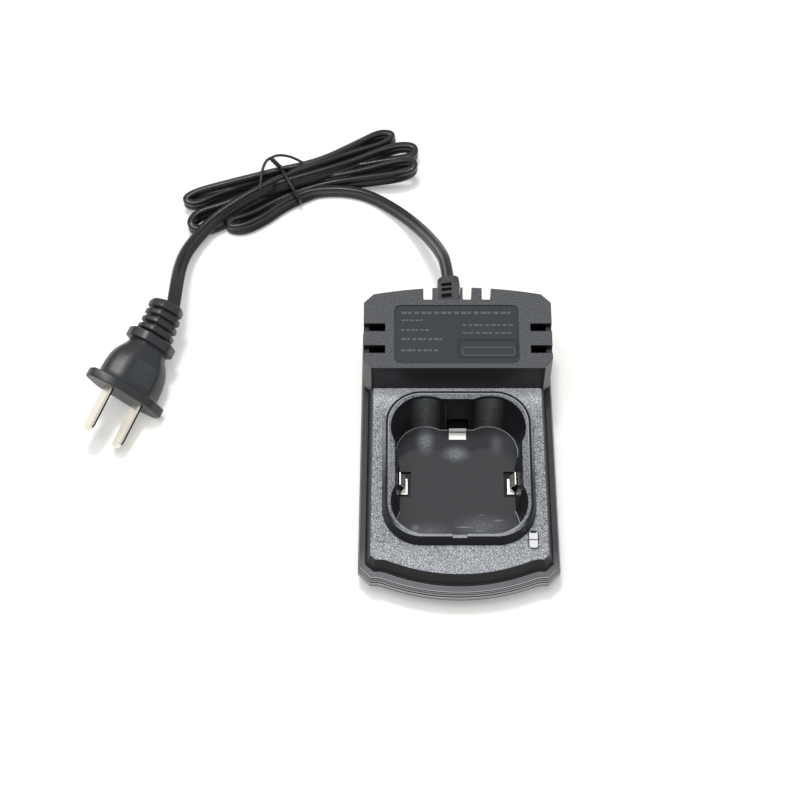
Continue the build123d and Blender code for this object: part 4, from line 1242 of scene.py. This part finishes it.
@dataclass
class Plug:
    """Moulded two-blade plug with a ribbed sleeve that flexes towards its cord."""

    face: Point = (-119.3, 20.8, 12.4)
    heading: float = 24.5
    pitch: float = -9.0
    roll: float = 40.0
    flat_share: float = 0.52
    side_share: float = 0.36
    collar_end: float = 24.3
    bend: float = 9.0
    sleeve_length: float = 14.4
    softenings: tuple[float, float] = (0.10, 0.25)
    crease_angle: float = 38.0
    stations: tuple[tuple[float, float, float], ...] = (
        (0.0, 30.0, 12.2), (0.0, 30.6, 12.8), (0.35, 31.2, 13.4), (3.1, 31.2, 13.4), (3.4, 30.6, 12.8),
        (3.4, 24.4, 12.9), (3.7, 23.9, 12.6), (6.0, 23.9, 12.6), (9.0, 23.6, 12.5), (12.0, 22.6, 12.3),
        (14.4, 21.0, 12.0), (16.4, 18.6, 11.4), (18.0, 16.4, 10.8), (19.4, 15.0, 10.3), (20.7, 14.6, 10.0),
        (20.7, 17.6, 12.0), (21.0, 18.6, 12.8), (24.0, 18.6, 12.8), (24.3, 17.8, 12.2), (24.3, 9.6, 6.6),
        (25.4, 9.4, 6.4), (25.4, 13.0, 9.4), (25.8, 14.0, 10.0), (27.2, 14.0, 10.0), (27.6, 13.0, 9.4),
        (27.6, 9.2, 6.4), (28.7, 9.2, 6.4), (28.7, 12.6, 9.0), (29.1, 13.6, 9.8), (30.4, 13.6, 9.8),
        (30.8, 12.6, 9.0), (30.8, 9.2, 6.4), (31.9, 9.2, 6.4), (31.9, 12.4, 8.8), (32.3, 13.3, 9.6),
        (33.6, 13.3, 9.6), (34.0, 12.4, 8.8), (34.0, 9.0, 6.2), (35.0, 9.0, 6.2), (35.0, 12.2, 8.8),
        (35.4, 13.0, 9.5), (37.2, 13.0, 9.5), (38.2, 11.6, 8.4), (38.7, 8.0, 5.6), (38.7, 4.0, 2.4),
    )
    grip_lines: int = 12
    grip_start: float = 5.8
    grip_pitch: float = 0.68
    grip_width: float = 9.2
    grip_offset: float = 0.6
    grip_radius: float = 0.12
    grip_height: float = 6.33
    grip_sag: float = 0.012
    grip_sag_start: float = 6.0
    grip_sag_power: float = 1.6

    def axes(self) -> tuple[Vector, Vector, Vector]:
        """Side, up and forward directions of the plug's front face."""
        heading, pitch = math.radians(self.heading), math.radians(self.pitch)
        forward = Vector(
            (-math.sin(heading) * math.cos(pitch), -math.cos(heading) * math.cos(pitch), math.sin(pitch))
        )
        side = Vector((math.cos(heading), -math.sin(heading), 0.0))
        return side, forward.cross(side), forward

    def place(self, distance: float, x: float, y: float) -> Vector:
        """Point of a section in the row frame.

        Args:
            distance: how far behind the front face the section lies, in millimetres.
            x: across the section's width, in millimetres.
            y: across its thickness, in millimetres.

        Returns:
            The point in metres.
        """
        side, up, forward = self.axes()
        roll = math.radians(self.roll)
        u = x * math.cos(roll) + y * math.sin(roll)
        v = -x * math.sin(roll) + y * math.cos(roll)
        radius = self.sleeve_length / math.radians(self.bend)
        angle = max(0.0, distance - self.collar_end) / radius
        centre_u = -radius * (1 - math.cos(angle))
        centre_w = -min(distance, self.collar_end) - radius * math.sin(angle)
        local_u = centre_u + u * math.cos(angle)
        local_w = centre_w - u * math.sin(angle)
        return (Vector(self.face) + side * local_u + up * v + forward * local_w) * MM

    def section(self, width: float, thickness: float) -> list[tuple[float, float]]:
        """Eight-sided outline with softened corners."""
        half_w, half_t = width / 2, thickness / 2
        flat, side = half_w * self.flat_share, half_t * self.side_share
        corners = [(half_w, side), (flat, half_t), (-flat, half_t), (-half_w, side)]
        corners += [(-x, -y) for x, y in corners]
        for share in self.softenings:
            softer = []
            for (ax, ay), (bx, by) in zip(corners, corners[1:] + corners[:1]):
                softer.append((ax + share * (bx - ax), ay + share * (by - ay)))
                softer.append((bx + share * (ax - bx), by + share * (ay - by)))
            corners = softer
        return corners

    def build_body(self) -> bpy.types.Object:
        """Lofts the moulding through its stations."""
        points: list[Vector] = []
        faces: list[tuple[int, ...]] = []
        for distance, width, thickness in self.stations:
            points += [self.place(distance, x, y) for x, y in self.section(width, thickness)]
        count = len(points) // len(self.stations)
        for ring in range(len(self.stations) - 1):
            for i in range(count):
                a, b = ring * count + i, ring * count + (i + 1) % count
                faces.append((a, b, b + count, a + count))
        faces.append(tuple(reversed(range(count))))
        last = (len(self.stations) - 1) * count
        faces.append(tuple(range(last, last + count)))
        body = mesh_object("plug_moulding", points, faces)
        body.data.shade_smooth()
        edges = body.modifiers.new("edges", "EDGE_SPLIT")
        edges.split_angle = math.radians(self.crease_angle)
        return link(body)

    def build_grip(self) -> bpy.types.Object:
        """Lays the fine grip lines across the top flat."""
        lines = []
        for i in range(self.grip_lines):
            distance = self.grip_start + i * self.grip_pitch
            past = max(0.0, distance - self.grip_sag_start)
            height = self.grip_height - self.grip_sag * past**self.grip_sag_power
            sides = [self.grip_offset + share * self.grip_width for share in (-0.5, 0.5)]
            lines.append([self.place(distance, side, height) for side in sides])
        return wire("plug_grip_lines", lines, self.grip_radius * MM)

    def build(self) -> list[bpy.types.Object]:
        """Builds the plug.

        Returns:
            The pieces that go with the cord.
        """
        # Soft PVC moulded in a fine-grained tool: satin, with soft broad highlights along its ridges.
        vinyl = MouldedPlastic(
            "pvc_plug_moulded", "#25282B", roughness=0.36, grain_mm=0.5, grain_depth=0.12
        ).build()
        # Painted highlight: the grip lines are a shade paler than the moulding round them, so that they show
        # at this size.
        pale = MouldedPlastic("pvc_plug_grip_painted_highlight", "#4E5255", roughness=0.5, edge_round_mm=0.05).build()
        body, grip = self.build_body(), self.build_grip()
        for piece, skin in ((body, vinyl), (grip, pale)):
            piece.data.materials.append(skin)
        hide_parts("plug_body")
        # Moulded PVC grommet in the rear wall, semi-matt.
        relief = MouldedPlastic("pvc_relief_moulded", "#303235", roughness=0.5, grain_mm=0.5, grain_depth=0.3)
        dress(["cord_strain_relief"], relief.build())
        side, up, _ = self.axes()
        roll = math.radians(self.roll)
        edge = side * math.sin(roll) + up * math.cos(roll)
        # Nickel-plated brass blades: pale warm grey, with painted shade on their stamped edges.
        across = side * math.cos(roll) - up * math.sin(roll)
        brass = PlatedMetal(
            "nickel_plated_brass",
            "#F1EBDD",
            roughness=0.3,
            dark_axis=tuple(edge),
            band_axis=tuple(across),
            band_origin=across.dot(Vector(self.face)) * MM,
        )
        dress(["plug_blades"], brass.build())
        return [body, grip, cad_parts["plug_blades"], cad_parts["cord_strain_relief"]]


def main() -> None:
    """Builds the stage and every sub-assembly in order."""
    Studio().build()
    with_pieces = Plug().build() + TwistTie().build()
    FlatCord().build(with_pieces)
    Case().build()
    Contacts().build()
    Indicator().build()
    Circuit().build()
    log.info("boxes written")


if __name__ == "__main__":
    main()
